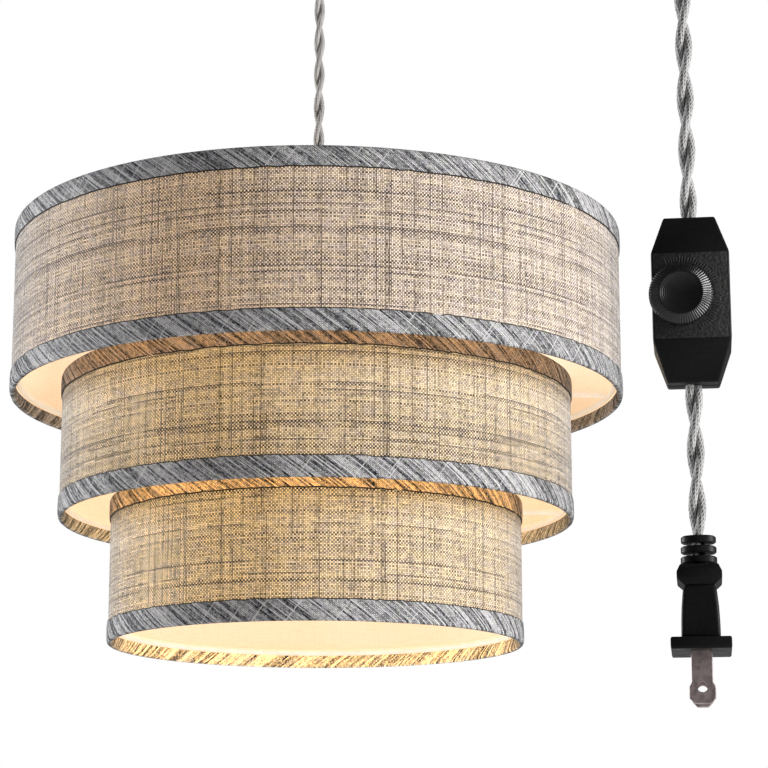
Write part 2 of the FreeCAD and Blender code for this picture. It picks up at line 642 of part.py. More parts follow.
def main():
    os.makedirs("parts", exist_ok=True)
    emit("hook_lamp", hook(V(0, 0, 0)))
    emit("hook_cord", hook(swag_dir * hook_spacing))
    emit("cord_swag", swag())
    emit("cord_coil", stood_up(Part.makeTorus(coil_turn_r, coil_bundle_r, V(0, 0, 0), UP)))
    emit("coil_tie", coil_ties())
    hanging_cord("cord_pendant", lamp, swing_z, cap_top_z, True)
    hanging_cord("cord_drop", drop, drop_swing_z, dimmer_z + cord_stop, True)
    hanging_cord("cord_tail", drop, dimmer_z - cord_stop, collar_top_z - cord_seat, False)
    spider()
    tiers()
    socket()
    bulb()
    dimmer()
    plug()
    print("lamp axis %.3f %.3f   drop axis %.3f %.3f   coil middle %.3f %.3f %.3f"
          % (lamp.x, lamp.y, drop.x, drop.y, coil_middle.x, coil_middle.y, coil_middle.z))
    turn = math.radians(drop_turn_deg)
    dial = drop + V(knob_x * math.cos(turn) + dimmer_front_y * math.sin(turn),
                    knob_x * math.sin(turn) - dimmer_front_y * math.cos(turn), dimmer_z)
    print("dial %.3f %.3f %.3f  plug face %.2f" % (dial.x, dial.y, dial.z, plug_face_z))
    print("swing %.2f  drop swing %.2f  cord top %.2f  tops %s  globe %.2f  bulb tip %.2f"
          % (swing_z, drop_swing_z, cord_top_z, tier_top_z, globe_z, bulb_tip_z))


main()
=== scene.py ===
# %% [markdown]
# # A three-tier drum pendant, plug-in, with a rotary dimmer on its cord
#
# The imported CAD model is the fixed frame: it holds every size, place and joint.  This file gives each
# piece its looks around that frame.  We load it first, keep its box, and read the places we need from it.

# %% Load the frame
import json
import math

import bpy
import bmesh
import numpy as np
from mathutils import Matrix, Vector


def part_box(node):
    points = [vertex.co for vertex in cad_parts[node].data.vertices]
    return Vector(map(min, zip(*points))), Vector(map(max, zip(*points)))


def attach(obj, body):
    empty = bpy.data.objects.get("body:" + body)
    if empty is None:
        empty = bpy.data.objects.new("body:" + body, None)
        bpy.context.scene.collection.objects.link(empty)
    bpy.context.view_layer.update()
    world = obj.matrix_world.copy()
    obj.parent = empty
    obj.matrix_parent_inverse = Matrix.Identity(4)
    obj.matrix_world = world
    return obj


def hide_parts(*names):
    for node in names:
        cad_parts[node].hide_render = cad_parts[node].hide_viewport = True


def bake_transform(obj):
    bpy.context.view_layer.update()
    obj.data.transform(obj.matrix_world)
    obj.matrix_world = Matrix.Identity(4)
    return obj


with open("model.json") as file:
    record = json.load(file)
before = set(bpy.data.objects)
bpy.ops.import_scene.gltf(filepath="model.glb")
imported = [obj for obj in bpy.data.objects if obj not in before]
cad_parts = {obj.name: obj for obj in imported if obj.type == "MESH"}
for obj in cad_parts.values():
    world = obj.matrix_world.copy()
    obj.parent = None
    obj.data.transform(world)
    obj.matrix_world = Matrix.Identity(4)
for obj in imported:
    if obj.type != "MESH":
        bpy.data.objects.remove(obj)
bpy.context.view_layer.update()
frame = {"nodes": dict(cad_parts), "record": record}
nodes = frame["nodes"]
UP = Vector((0, 0, 1))


def middle(node):
    low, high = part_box(node)
    return (low + high) / 2


lamp = middle("bottom_trim_1")  # a point on the lamp's axis
lamp.z = 0
lamp_hook = Vector((0, 0, 0))  # the frame's origin, where the lamp's hook meets the ceiling
drop = middle("cord_tail")  # a point on the hanging end's axis
drop.z = 0
swag_dir = (drop - lamp).normalized()  # from the lamp's hook towards the second hook
swag_side = Vector((-swag_dir.y, swag_dir.x, 0))
print("lamp axis", lamp[:2], "drop axis", drop[:2])

# %% [markdown]
# ## The camera
#
# The lamp is seen from a little below, so that we look up into the drums.  A long lens keeps the drums'
# sides almost upright.  The camera turns slightly to the right, to make room for the dimmer and the plug.

# %% Camera
camera_back = 1.1473  # lamp's axis to the camera, along Y
camera_z = -0.5315
camera_pitch = 0.2242
camera_turn = 0.0288
camera_data = bpy.data.cameras.new("camera")
camera_data.sensor_width = 36
camera_data.lens = 111.24
camera = bpy.data.objects.new("camera", camera_data)
camera.location = (lamp.x, lamp.y - camera_back, camera_z)
camera.rotation_euler = (math.pi / 2 + camera_pitch, 0, -camera_turn)
bpy.context.scene.collection.objects.link(camera)
bpy.context.scene.camera = camera

# %% [markdown]
# ## Helpers for materials
#
# Every finish is a node tree.  These few helpers keep the trees short: one adds a node and fills its
# inputs, one mixes two colours, and a value can be added to or multiplied by another like a plain number.

# %% Node helpers


class Value:
    """A number worked out by nodes: a sum with it adds the node that does the sum."""

    def __init__(self, tree, socket):
        self.tree = tree
        self.socket = socket

    def __add__(self, other):
        return self.tree.math("ADD", self, other)

    def __sub__(self, other):
        return self.tree.math("SUBTRACT", self, other)

    def __rsub__(self, other):
        return self.tree.math("SUBTRACT", other, self)

    def __mul__(self, other):
        return self.tree.math("MULTIPLY", self, other)


class Tree:
    """A material's node tree, with short ways to add nodes."""

    def __init__(self, name):
        self.material = bpy.data.materials.new(name)
        self.material.use_nodes = True
        self.nodes = self.material.node_tree.nodes
        self.links = self.material.node_tree.links
        self.nodes.clear()

    def put(self, kind, inputs=None, **settings):
        node = self.nodes.new("ShaderNode" + kind)
        for key, value in settings.items():
            setattr(node, key, value)
        for key, value in (inputs or {}).items():
            value = getattr(value, "socket", value)
            if isinstance(value, bpy.types.NodeSocket):
                self.links.new(value, node.inputs[key])
            else:
                node.inputs[key].default_value = value
        return node

    def math(self, operation, a, b=0.0, clamp=False):
        node = self.put("Math", {0: a, 1: b}, operation=operation, use_clamp=clamp)
        return Value(self, node.outputs[0])

    def pick(self, share, a, b):
        """The number a where the share is 0, and b where it is 1."""
        return Value(self, self.put("Mix", {0: share, 2: a, 3: b}).outputs[0])

    def mix(self, share, a, b, blend="MIX"):
        """The colour a where the share is 0, and b where it is 1."""
        return self.put("Mix", {0: share, 6: a, 7: b}, data_type="RGBA", blend_type=blend).outputs[2]

    def tint(self, colour, by):
        return self.mix(1.0, colour, by, "MULTIPLY")

    def ramp(self, value, low, high, to_low=0.0, to_high=1.0):
        node = self.put("MapRange", {0: value, 1: low, 2: high, 3: to_low, 4: to_high},
                        interpolation_type="SMOOTHSTEP")
        return Value(self, node.outputs[0])

    def vector(self, x=0.0, y=0.0, z=0.0):
        return self.put("CombineXYZ", {0: x, 1: y, 2: z}).outputs[0]

    def split(self, vector):
        return [Value(self, part) for part in self.put("SeparateXYZ", {0: vector}).outputs]

    def noise(self, vector, scale=1.0, detail=2.0, roughness=0.5):
        settings = {"Vector": vector, "Scale": scale, "Detail": detail, "Roughness": roughness}
        return Value(self, self.put("TexNoise", settings).outputs[0])

    def random(self, vector):
        return Value(self, self.put("TexWhiteNoise", {"Vector": vector}).outputs[0])

    def place(self):
        """The point on the piece, in metres."""
        return self.put("TexCoord").outputs["Object"]

    def bump(self, height, distance, strength=1.0):
        return self.put("Bump", {"Height": height, "Distance": distance, "Strength": strength}).outputs[0]

    def shader(self, **inputs):
        return self.put("BsdfPrincipled", {key.replace("_", " "): value for key, value in inputs.items()})

    def finish(self, shader):
        self.links.new(shader.outputs[0], self.put("OutputMaterial").inputs[0])
        return self.material

    def surface(self, **inputs):
        return self.finish(self.shader(**inputs))


# %% [markdown]
# ## Helpers for modelling
#
# Most pieces are turned on a lathe or stacked up from sections.  Both start from a flat primitive, whose
# edge is extruded from station to station and scaled as it goes.  Every piece is made at the world's
# middle and then set in its place, so that its own measures stay easy to read.  We always deselect
# everything first, since a primitive comes in fully selected and the loaded nodes are selected too.

# %% Modelling helpers
MM = 0.001


def fresh():
    if bpy.context.object and bpy.context.object.mode != "OBJECT":
        bpy.ops.object.mode_set(mode="OBJECT")
    bpy.ops.object.select_all(action="DESELECT")


def only(piece):
    """Select this piece and nothing else."""
    fresh()
    piece.select_set(True)
    bpy.context.view_layer.objects.active = piece


def edit(piece):
    only(piece)
    bpy.ops.object.mode_set(mode="EDIT")
    bpy.ops.mesh.select_all(action="SELECT")


def close_up():
    """Merge what touches and turn all faces outwards."""
    bpy.ops.mesh.select_all(action="SELECT")
    bpy.ops.mesh.remove_doubles(threshold=1e-6)
    bpy.ops.mesh.normals_make_consistent(inside=False)


def settle(piece, name, material, at=Vector(), towards=UP, turn=0.0, smooth_deg=35.0):
    """Set the piece in its place, apply the place, and name, shade and finish the piece."""
    only(piece)
    lean = towards.to_track_quat("Z", "Y").to_matrix() if towards != UP else Matrix.Identity(3)
    piece.rotation_euler = (lean @ Matrix.Rotation(turn, 3, "Z")).to_euler()
    piece.location = at
    bpy.ops.object.transform_apply(location=True, rotation=True, scale=True)
    bpy.ops.object.shade_smooth_by_angle(angle=math.radians(smooth_deg))
    piece.name = name
    piece.data.name = name
    piece.data.materials.clear()
    piece.data.materials.append(material)
    return piece


def picked(piece, wanted):
    """Select only the corners that the test wants, in edit mode."""
    mesh = bmesh.from_edit_mesh(piece.data)
    bpy.ops.mesh.select_all(action="DESELECT")
    for corner in mesh.verts:
        corner.select_set(bool(wanted(corner.co)))
    mesh.select_flush(True)
    bmesh.update_edit_mesh(piece.data)


def turned(name, material, stations, sides=96, flutes=None, smooth_deg=35.0, deep=1.0, **place):
    """Turn a piece about Z: a circle is extruded through (radius, height) stations in mm.  A radius of 0
    closes an end, and a last station equal to the first closes a ring.  flutes are (low, high, every,
    scale): between the two heights, each such column of corners is drawn in.  deep makes it an oval."""
    fresh()
    stations = [(r * MM, z * MM) for r, z in stations]
    (r, z), rest = stations[0], stations[1:]
    if r == 0:
        (r, z), rest = rest[0], rest[1:]
        bpy.ops.mesh.primitive_circle_add(vertices=sides, radius=r, fill_type="TRIFAN")
    else:
        bpy.ops.mesh.primitive_circle_add(vertices=sides, radius=r)
    piece = bpy.context.object
    edit(piece)
    bpy.ops.transform.translate(value=(0, 0, z))
    if stations[0][0] == 0:
        bpy.ops.mesh.region_to_loop()
    for new_r, new_z in rest:
        bpy.ops.mesh.extrude_edges_move(TRANSFORM_OT_translate={"value": (0, 0, new_z - z)})
        if new_r == 0:
            bpy.ops.mesh.merge(type="CENTER")
        else:
            bpy.ops.transform.resize(value=(new_r / r, new_r / r, 1), center_override=(0, 0, new_z))
        r, z = new_r, new_z
    close_up()
    if flutes:
        low, high, every, scale = flutes
        picked(piece, lambda co: low * MM < co.z < high * MM
               and round(math.atan2(co.y, co.x) / (2 * math.pi) * sides) % every == 0)
        bpy.ops.transform.resize(value=(scale, scale, 1), center_override=(0, 0, 0))
    if deep != 1.0:
        bpy.ops.mesh.select_all(action="SELECT")
        bpy.ops.transform.resize(value=(1, deep, 1), center_override=(0, 0, 0))
    return settle(piece, name, material, smooth_deg=smooth_deg, **place)


def modify(piece, kind, **settings):
    """Add a modifier and apply it at once."""
    only(piece)
    modifier = piece.modifiers.new(kind.lower(), kind)
    for key, value in settings.items():
        setattr(modifier, key, value)
    bpy.ops.object.modifier_apply(modifier=modifier.name)


def eased(piece, width, segments=2, limit_deg=30.0):
    """Round a piece's sharp edges a little."""
    modify(piece, "BEVEL", width=width * MM, segments=segments, limit_method="ANGLE",
           angle_limit=math.radians(limit_deg))
    return piece


def stacked(name, material, stations, ease=0.0, segments=3, limit_deg=15.0, **place):
    """Stack a block up from (height, half width, front, back) stations in mm, and round its edges."""
    fresh()
    stations = [[value * MM for value in station] for station in stations]
    z, half, front, back = stations[0]
    bpy.ops.mesh.primitive_plane_add(size=1)
    piece = bpy.context.object
    edit(piece)
    bpy.ops.transform.resize(value=(2 * half, front + back, 1))
    bpy.ops.transform.translate(value=(0, (back - front) / 2, z))
    for new_z, new_half, new_front, new_back in stations[1:]:
        shift = (new_back - new_front - back + front) / 2
        bpy.ops.mesh.extrude_region_move(TRANSFORM_OT_translate={"value": (0, shift, new_z - z)})
        bpy.ops.transform.resize(value=(new_half / half, (new_front + new_back) / (front + back), 1),
                                 center_override=(0, (new_back - new_front) / 2, new_z))
        z, half, front, back = new_z, new_half, new_front, new_back
    close_up()
    settle(piece, name, material)
    if ease:
        eased(piece, ease, segments, limit_deg)
    return settle(piece, name, material, **place)


def above(height, *points):
    """(radius, rise) points in mm, as rises above a height."""
    return [(r, height + rise) for r, rise in points]


def rod(name, material, start, end, radius, sides=20):
    """A round bar between two points, with eased rims; the radius is in mm."""
    length = (end - start).length / MM
    rim = radius * 0.3
    profile = [(0, 0), (radius - rim, 0), (radius, rim), (radius, length - rim), (radius - rim, length),
               (0, length)]
    return turned(name, material, profile, sides, at=start, towards=(end - start).normalized())


def joined(pieces, name, material, smooth_deg=35.0):
    """Join several separate solids into one piece."""
    fresh()
    for piece in pieces:
        piece.select_set(True)
    bpy.context.view_layer.objects.active = pieces[0]
    if len(pieces) > 1:
        bpy.ops.object.join()
    return settle(bpy.context.object, name, material, smooth_deg=smooth_deg)


def heights(node):
    """A CAD node's lowest and highest z, in mm."""
    low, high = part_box(node)
    return low.z / MM, high.z / MM


def stands_for(piece, body, slot, *cad_nodes):
    """The piece rides on a body and stands for CAD nodes; the slot is not used."""
    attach(piece, body)
    if cad_nodes:
        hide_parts(*cad_nodes)
    print(piece.name, len(piece.data.polygons), "faces")
    return piece


def on_axis(name, material, outline, sides, slot, node, flutes=None, body="pendant", smooth_deg=35.0):
    """A piece turned about the lamp's axis, that stands for one CAD node."""
    piece = turned(name, material, outline, sides, flutes, smooth_deg, at=lamp)
    return stands_for(piece, body, slot, node)


# %% [markdown]
# ## The cord's line
#
# The cord is two insulated strands in a braided sheath, twisted round each other.  Its line comes first: a
# smooth curve through a few given points.  The lamp hangs straight down from its hook, the cord
# swags over to the second hook, the spare length hangs there as a tied coil, and the end drops to the
# dimmer and the plug.  The coil's turns are worked out by a loop, the rest is a list.

# %% Cord sizes and routes
cord_d = 0.0056
strand_r = 0.00138
twist_pitch = 0.035  # one full turn of the twist
junction_z = -0.0539  # where the hanging stretch meets the swag
drop_start_z = -0.0882
tucked = 0.004  # how far the cord goes into the grip and the dimmer
plugged = 0.0115  # and into the plug's strain relief
grip_top_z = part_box("cord_grip")[1].z
coil_middle = middle("cord_coil")
dimmer_low_z, dimmer_top_z = (corner.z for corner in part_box("dimmer_front"))
relief_top_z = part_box("plug_relief")[1].z

# (distance from the lamp's hook towards the second hook, height, offset across)
swag_route = [(-0.0060, -0.0539, 0), (-0.0060, -0.0470, 0), (-0.0036, -0.0438, 0), (0.0003, -0.0427, 0),
              (0.0090, -0.0464, 0), (0.0250, -0.0519, 0), (0.0570, -0.0612, 0), (0.1120, -0.0717, 0),
              (0.1760, -0.0753, 0), (0.2400, -0.0696, 0), (0.3020, -0.0552, 0), (0.3450, -0.0400, -0.001),
              (0.3650, -0.0316, -0.004), (0.3780, -0.0256, -0.0056)]


def in_swag_plane(along, height, across=0.0):
    return swag_dir * along + UP * height + swag_side * across


def curve_line(name, points, resolution=12):
    """Read the points along a smooth NURBS line whose control points are given."""
    data = bpy.data.curves.new(name, "CURVE")
    data.dimensions = "3D"
    data.resolution_u = resolution
    spline = data.splines.new("NURBS")
    spline.points.add(len(points) - 1)
    for spot, point in zip(spline.points, points):
        spot.co = (*point, 1)
    spline.order_u = min(3, len(points))
    spline.use_endpoint_u = True
    holder = bpy.data.objects.new(name, data)
    bpy.context.scene.collection.objects.link(holder)
    bpy.context.view_layer.update()
    mesh = bpy.data.meshes.new_from_object(holder)
    line = np.array([tuple(v.co) for v in mesh.vertices])
    bpy.data.objects.remove(holder)
    bpy.data.meshes.remove(mesh)
    return line


def length_of(line):
    return float(np.linalg.norm(np.diff(line, axis=0), axis=1).sum())


def evenly(line, step):
    """The same line with points a step apart."""
    run = np.concatenate([[0], np.cumsum(np.linalg.norm(np.diff(line, axis=0), axis=1))])
    marks = np.linspace(0, run[-1], max(2, round(run[-1] / step) + 1))
    return np.stack([np.interp(marks, run, line[:, k]) for k in range(3)], axis=1), marks


# %% [markdown]
# The coil: the swag comes in over its top, goes round clockwise, and the last turn leaves downwards on the
# far side.  The turns lie in a round bundle, packed like pencils, and each turn moves over to the next
# place while it passes the side nearest the lamp.

# %% The coil's route
turn_r = 0.0335
turns = 17
points_per_turn = 14
entry_deg = 114.0  # where the swag comes in
early_deg = 70.0  # each turn moves over this long before it is complete
stay = 0.7  # the share of a turn that keeps its place
# places in the bundle: (outwards, across) in cord diameters, each beside the one before
row = math.sqrt(3) / 2
bundle = [(2 * row, -1), (row, -1.5), (0, -2), (-row, -1.5), (-2 * row, -1), (-2 * row, 0), (-row, -0.5),
          (0, -1), (row, -0.5), (row, 0.5), (0, 0), (-row, 0.5), (-2 * row, 1), (-row, 1.5), (0, 2),
          (row, 1.5), (2 * row, 1), (2 * row, 0)]


def coil_route():
    hub = (coil_middle - lamp_hook).dot(swag_dir)
    steps = round((turns + entry_deg / 360) * points_per_turn)
    shrink = math.cos(math.pi / points_per_turn)  # a smooth line runs inside its control points
    points = []
    for k in range(steps + 1):
        gone = (turns * 360 + entry_deg) * k / steps
        angle = math.radians(entry_deg - gone)
        place = (gone + early_deg) / 360
        here = min(int(place), len(bundle) - 1)
        after = min(here + 1, len(bundle) - 1)
        share = min(max((place - here - stay) / (1 - stay), 0), 1)
        share = share * share * (3 - 2 * share)
        out, across = ((a * (1 - share) + b * share) * cord_d for a, b in zip(bundle[here], bundle[after]))
        r = (turn_r + out) / shrink
        points.append(in_swag_plane(hub + r * math.cos(angle), coil_middle.z + r * math.sin(angle), across))
    straight = (drop - lamp_hook).dot(swag_dir)
    points[-1] = in_swag_plane(straight, coil_middle.z + 0.002)
    points.append(in_swag_plane(straight, -0.077))
    points.append(in_swag_plane(straight, drop_start_z))
    return points


def upright(name, axis, heights_m):
    return curve_line(name, [axis + UP * z for z in heights_m])


lamp_line = upright("lamp_line", lamp, (grip_top_z - tucked, -0.11, -0.075, junction_z))
swag_line = curve_line("swag_line", [in_swag_plane(*point) for point in swag_route])
coil_line = curve_line("coil_line", coil_route(), 6)
drop_line = upright("drop_line", drop, (drop_start_z, -0.15, -0.25, dimmer_top_z - tucked))
tail_line = upright("tail_line", drop, (dimmer_low_z + tucked, -0.39, relief_top_z - plugged))
for label, line in (("lamp", lamp_line), ("swag", swag_line), ("coil", coil_line), ("drop", drop_line),
                    ("tail", tail_line)):
    print("cord,", label, "stretch: %.3f m" % length_of(line))

# %% [markdown]
# ## The cord's braid
#
# Each strand has a silver-grey textile sheath, braided on the bias.  The strand's own UV map follows it:
# U goes once round and V runs along it in metres, so that the braid keeps its size in the coil as well.

# %% Cord finish


def braid_material():
    t = Tree("cord_braid")
    around, along, _ = t.split(t.put("UVMap", uv_map="strand").outputs[0])
    round_it, lay = around * 8.0, along * 420.0  # eight carriers each way, and how steeply they run
    one, two = t.math("FRACT", round_it + lay), t.math("FRACT", round_it - lay)
    ridges = [1.0 - t.math("ABSOLUTE", way * 2.0 - 1.0) for way in (one, two)]
    over = t.math("MAXIMUM", *ridges)
    fibre = t.noise(t.vector(around * 40.0, along * 900.0), 1.0, 3.0)
    # Painted shade: where the carriers dip at their crossings, the colour runs to near black for the shadow
    # in the gaps between them.
    tone = fibre * 0.5 + over * 0.5
    colour = t.mix(t.ramp(tone, 0.25, 0.8), (0.024, 0.023, 0.022, 1), (0.42, 0.415, 0.41, 1))
    patches = t.noise(t.place(), 160.0, 2.0)
    colour = t.mix(t.ramp(patches, 0.35, 0.7, 0.0, 0.3), colour, (0.58, 0.575, 0.57, 1))
    return t.surface(Base_Color=colour, Roughness=0.6, Normal=t.bump(fibre * 0.3 + over, 0.00022),
                     Sheen_Weight=0.25, Sheen_Roughness=0.4)


cord_braid = braid_material()


def unit(rows):
    return rows / np.linalg.norm(rows, axis=1)[:, None]


def strand_rings(line, marks, start_angle, sign, sides):
    """The ring of points round one strand, at each step along the cord."""
    ahead = unit(np.gradient(line, axis=0))
    side = np.array(swag_side)
    first = unit(side - ahead * (ahead @ side)[:, None])
    second = np.cross(ahead, first)
    angle = start_angle + 2 * math.pi * marks / twist_pitch
    away = first * np.cos(angle)[:, None] + second * np.sin(angle)[:, None]
    centre = line + sign * away * strand_r
    slope = unit(np.gradient(centre, axis=0))
    u = unit(away - slope * (away * slope).sum(1)[:, None])
    v = np.cross(slope, u)
    turn = 2 * math.pi * np.arange(sides) / sides
    ring = u[:, None, :] * np.cos(turn)[None, :, None] + v[:, None, :] * np.sin(turn)[None, :, None]
    return centre[:, None, :] + ring * strand_r


def twisted_cord(name, line, start_angle, step, sides):
    """Both strands of a stretch of cord, as one mesh with a UV map along each strand."""
    points, marks = evenly(line, step)
    verts, faces, uvs = [], [], []
    for sign in (1, -1):
        rings = strand_rings(points, marks, start_angle, sign, sides)
        base = len(verts)
        verts += rings.reshape(-1, 3).tolist()
        count = len(points)
        for k in range(count - 1):
            for s in range(sides):
                a, b = base + k * sides + s, base + k * sides + (s + 1) % sides
                faces.append((a, b, b + sides, a + sides))
                low, high = s / sides, (s + 1) / sides
                uvs += [(low, marks[k]), (high, marks[k]), (high, marks[k + 1]), (low, marks[k + 1])]
        for k, order in ((0, -1), (count - 1, 1)):
            ring = [base + k * sides + s for s in range(sides)][::order]
            faces.append(tuple(ring))
            uvs += [(0.5, marks[k])] * sides
    mesh = bpy.data.meshes.new(name)
    mesh.from_pydata(verts, [], faces)
    layer = mesh.uv_layers.new(name="strand")
    layer.data.foreach_set("uv", np.array(uvs, float).ravel())
    mesh.polygons.foreach_set("use_smooth", [True] * len(mesh.polygons))
    mesh.materials.append(cord_braid)
    piece = bpy.data.objects.new(name, mesh)
    bpy.context.scene.collection.objects.link(piece)
    end_angle = start_angle + 2 * math.pi * marks[-1] / twist_pitch
    return piece, points, end_angle


# %% [markdown]
# The five stretches follow each other, and each takes up the twist where the last one left it.

# %% Build the cord
fine, coarse = (0.0011, 10), (0.0020, 8)  # the step along each strand and its number of sides
# name, line, mesh, CAD node, far end, lay, pieces that go with it
stretches = [
    ("lamp_cord", lamp_line, fine, "cord_pendant", "object", "taut", []),
    ("swag_cord", swag_line, fine, "cord_swag", "object", "hanging", []),
    ("coil_cord", coil_line, coarse, "cord_coil", "object", "coiled", ["coil_tie"]),
    ("drop_cord", drop_line, fine, "cord_drop", "fitting", "taut", ["dimmer_front", "dimmer_back"]),
    ("tail_cord", tail_line, fine, "cord_tail", "plug", "taut",
     ["plug_body", "plug_relief", "plug_blade_neutral", "plug_blade_hot"])]
cords, angle = {}, 0.6
for name, line, mesh_size, node, far_end, lay, others in stretches:
    cord, points, angle = twisted_cord(name, line, angle, *mesh_size)
    cords[name] = cord
    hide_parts(node)
    print(name, len(cord.data.polygons), "faces")
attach(cords["swag_cord"], "root")
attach(cords["coil_cord"], "root")
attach(cords["tail_cord"], "drop")
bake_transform(cords["lamp_cord"])
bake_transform(cords["drop_cord"])

# %% [markdown]
# ## The linen
#
# The drums are covered in a plain weave of heathered threads.  The light threads run upwards and the darker
# ones run round, so that the crossings make an uneven check.  Here and there a dark slub follows a thread
# for a short way, as a thin line or as a row of dots.  We make this with sums instead of a picture: the
# distance round the drum and the height give each crossing its own cell, and the cell's row and column give
# each thread its own tone.  The trims are cut on the bias, so their threads slant.

# %% The weave
thread = 0.83 * MM  # from one thread to the next
thread_curve = 2.5  # higher is a flatter thread
slub_line = 0.56, 0.60  # a thin slub line covers its thread's side from here on


def round_the_drum(t, radius):
    """How far round the drum from its front, and how high: the cloth's own two directions, in metres."""
    x, y, z = t.split(t.place())
    return t.math("ARCTAN2", x - lamp.x, lamp.y - y) * radius, z


def one_way(t, lane, along, seed, base, spread, slub_share):
    """The tone of one set of threads, each drifting along its length, and where its slubs are."""
    own = t.random(t.vector(lane, seed))
    drift = t.noise(t.vector(lane * 3.7, along * 210.0, seed))
    tone = (own - 0.5) * spread + (drift - 0.5) * (1.6 * spread) + base
    chosen = t.math("LESS_THAN", t.random(t.vector(lane, seed + 5.0, 1.0)), slub_share)
    run = t.noise(t.vector(lane * 5.3, along * 30.0, seed + 2.0), 1.0, 1.0)
    return tone, chosen * t.ramp(run, 0.40, 0.52)


def weave(t, u, v, warp, weft, lead=0.0):
    """Tone, slubs and height of a weave; warp and weft hold the numbers for one_way.

    A lead above 0 keeps the warp on top, as in a twill, so the cloth reads as lines along the warp.
    """
    iu, iv = t.math("DIVIDE", u, thread), t.math("DIVIDE", v, thread)
    column, line = t.math("FLOOR", iu), t.math("FLOOR", iv)
    in_column, in_line = iu - column, iv - line
    over = t.math("MAXIMUM", t.math("FLOORED_MODULO", column + line, 2.0), lead)
    round_warp, round_weft = (1.0 - t.math("POWER", t.math("ABSOLUTE", part * 2.0 - 1.0), thread_curve)
                              for part in (in_column, in_line))
    height = t.pick(over, round_weft * (round_warp * 0.5 + 0.5), round_warp * (round_weft * 0.5 + 0.5))
    warp_tone, warp_slub = one_way(t, column, v, 3.0, *warp)
    weft_tone, weft_slub = one_way(t, line, u, 11.0, *weft)
    slub = t.pick(over, weft_slub, 0.0)
    for thin, part, start in ((warp_slub, in_column, slub_line[0]), (weft_slub, in_line, slub_line[1])):
        slub = t.math("MAXIMUM", slub, thin * t.math("GREATER_THAN", part, start))
    fleck = t.random(t.vector(column, line, 7.0)) - 0.5  # each crossing differs a little
    tone = t.pick(over, weft_tone, warp_tone) + fleck * 0.34
    # Painted shade: each thread's tone falls towards its edges and where it dips under the other thread, for
    # the dark gaps between the threads.
    return tone * (height * 1.05 + 0.24), slub, height


def cloth(t, u, v, warp, weft, dark, light, slub_colour, glow, veil, lead=0.0):
    """A heathered cloth: tone to colour, a painted warm glow for the light shining through, and a grey bloom
    of loose fibre.
    """
    tone, slub, height = weave(t, u, v, warp, weft, lead)
    tone = t.math("POWER", t.math("ADD", tone, 0.0, clamp=True), 1.3)
    colour = t.mix(slub * 0.85, t.mix(tone, dark, light), slub_colour)
    patch = t.noise(t.vector(u, v * 1.8), 150.0)
    colour = t.mix(t.ramp(patch, 0.35, 0.65), t.tint(colour, (1.0, 0.95, 0.97, 1)),
                   t.tint(colour, (1.0, 0.98, 0.92, 1)))
    # Painted light: the emission stands in for the bulb's light through the cloth. It is weaker on dark
    # threads and slubs, and varies in patches.
    shine = tone * t.ramp(patch, 0.2, 0.8, 0.7, 1.3) * (1.0 - slub * 0.8)
    threads = t.shader(Base_Color=colour, Roughness=0.85, Specular_IOR_Level=0.2,
                       Normal=t.bump(height, 0.00022, 0.8), Emission_Color=t.mix(shine, (0, 0, 0, 1), glow),
                       Emission_Strength=1.0)
    bloom = t.mix(t.ramp(tone, 0.1, 0.85), (0.030, 0.030, 0.032, 1), (0.44, 0.436, 0.436, 1))
    fibre = t.put("BsdfDiffuse", {"Color": bloom})
    facing = t.put("LayerWeight", {"Blend": 0.5}).outputs["Facing"]
    blend = t.put("MixShader", {0: t.ramp(facing, 0.42, 0.98, 0.0, veil)})
    t.links.new(threads.outputs[0], blend.inputs[1])
    t.links.new(fibre.outputs[0], blend.inputs[2])
    return t.finish(blend)


def linen(name, radius, glow, shade=1.0):
    """The cloth of a drum; the lower drums are in the shade of the one above."""
    t = Tree(name)
    u, v = round_the_drum(t, radius)
    light = (0.63 * shade, 0.62 * shade, 0.61 * shade ** 1.5, 1)
    # base tone, spread, share of threads with slubs
    return cloth(t, u, v, (0.86, 0.50, 0.14), (0.42, 0.48, 0.11),
                 (0.014, 0.010, 0.008, 1), light, (0.026, 0.024, 0.030, 1), glow, 0.68)


def bias_linen(name, radius, glow, tint=(1, 1, 1, 1)):
    """The trims are the same cloth cut on the bias, doubled, so that less light comes through."""
    t = Tree(name)
    u, v = round_the_drum(t, radius)
    # The pulled tape's threads lie 37 degrees from the edge, a little closer together than the drum's.
    slant = v * 0.96 + u * 0.72
    other = v * -0.72 + u * 0.96
    # Painted shade and light: tint darkens and warms the cloth of the lower drums' top tapes, which hang
    # under the drum above.
    light = tuple(value * share for value, share in zip((0.66, 0.67, 0.685, 1), tint))
    return cloth(t, slant, other, (0.54, 0.72, 0.14), (0.20, 0.30, 0.05),
                 (0.008, 0.011, 0.017, 1), light, light, glow, 0.75, lead=0.75)


# %% [markdown]
# ## The drums
#
# Each drum is a strip of linen glued to a stiff white lining, rolled up and lapped at the back, where the
# seam shows as a low step.  Bias tape is folded over both edges and round the wire rings.  We turn the
# section of each layer once round.  The tape's section is a rounded hook, a little fuller in the middle of
# its outer leg, and its cut edge wanders by a fraction of a millimetre.

# %% Build the drums
fabric_t, lining_t, tape_t = 0.8, 0.8, 0.6  # thicknesses in mm
tape_out, tape_in = 10.0, 5.5  # how far the tape reaches up the outside and the inside
wire_r = 1.5
seam_half, seam_rise = 6.0, 1.0035  # the lapped seam: half its width, and how far it stands out
wander = 0.16 * MM  # of the tape's cut edge
drums = []
for tier in (1, 2, 3):
    low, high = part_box("fabric_%d" % tier)
    drums.append({"radius": (high.x - low.x) / 2 / MM, "low": low.z / MM, "high": high.z / MM,
                  "bottom": heights("bottom_trim_%d" % tier)[0], "top": heights("top_trim_%d" % tier)[1]})
    print("drum", tier, {key: round(value, 2) for key, value in drums[-1].items()})
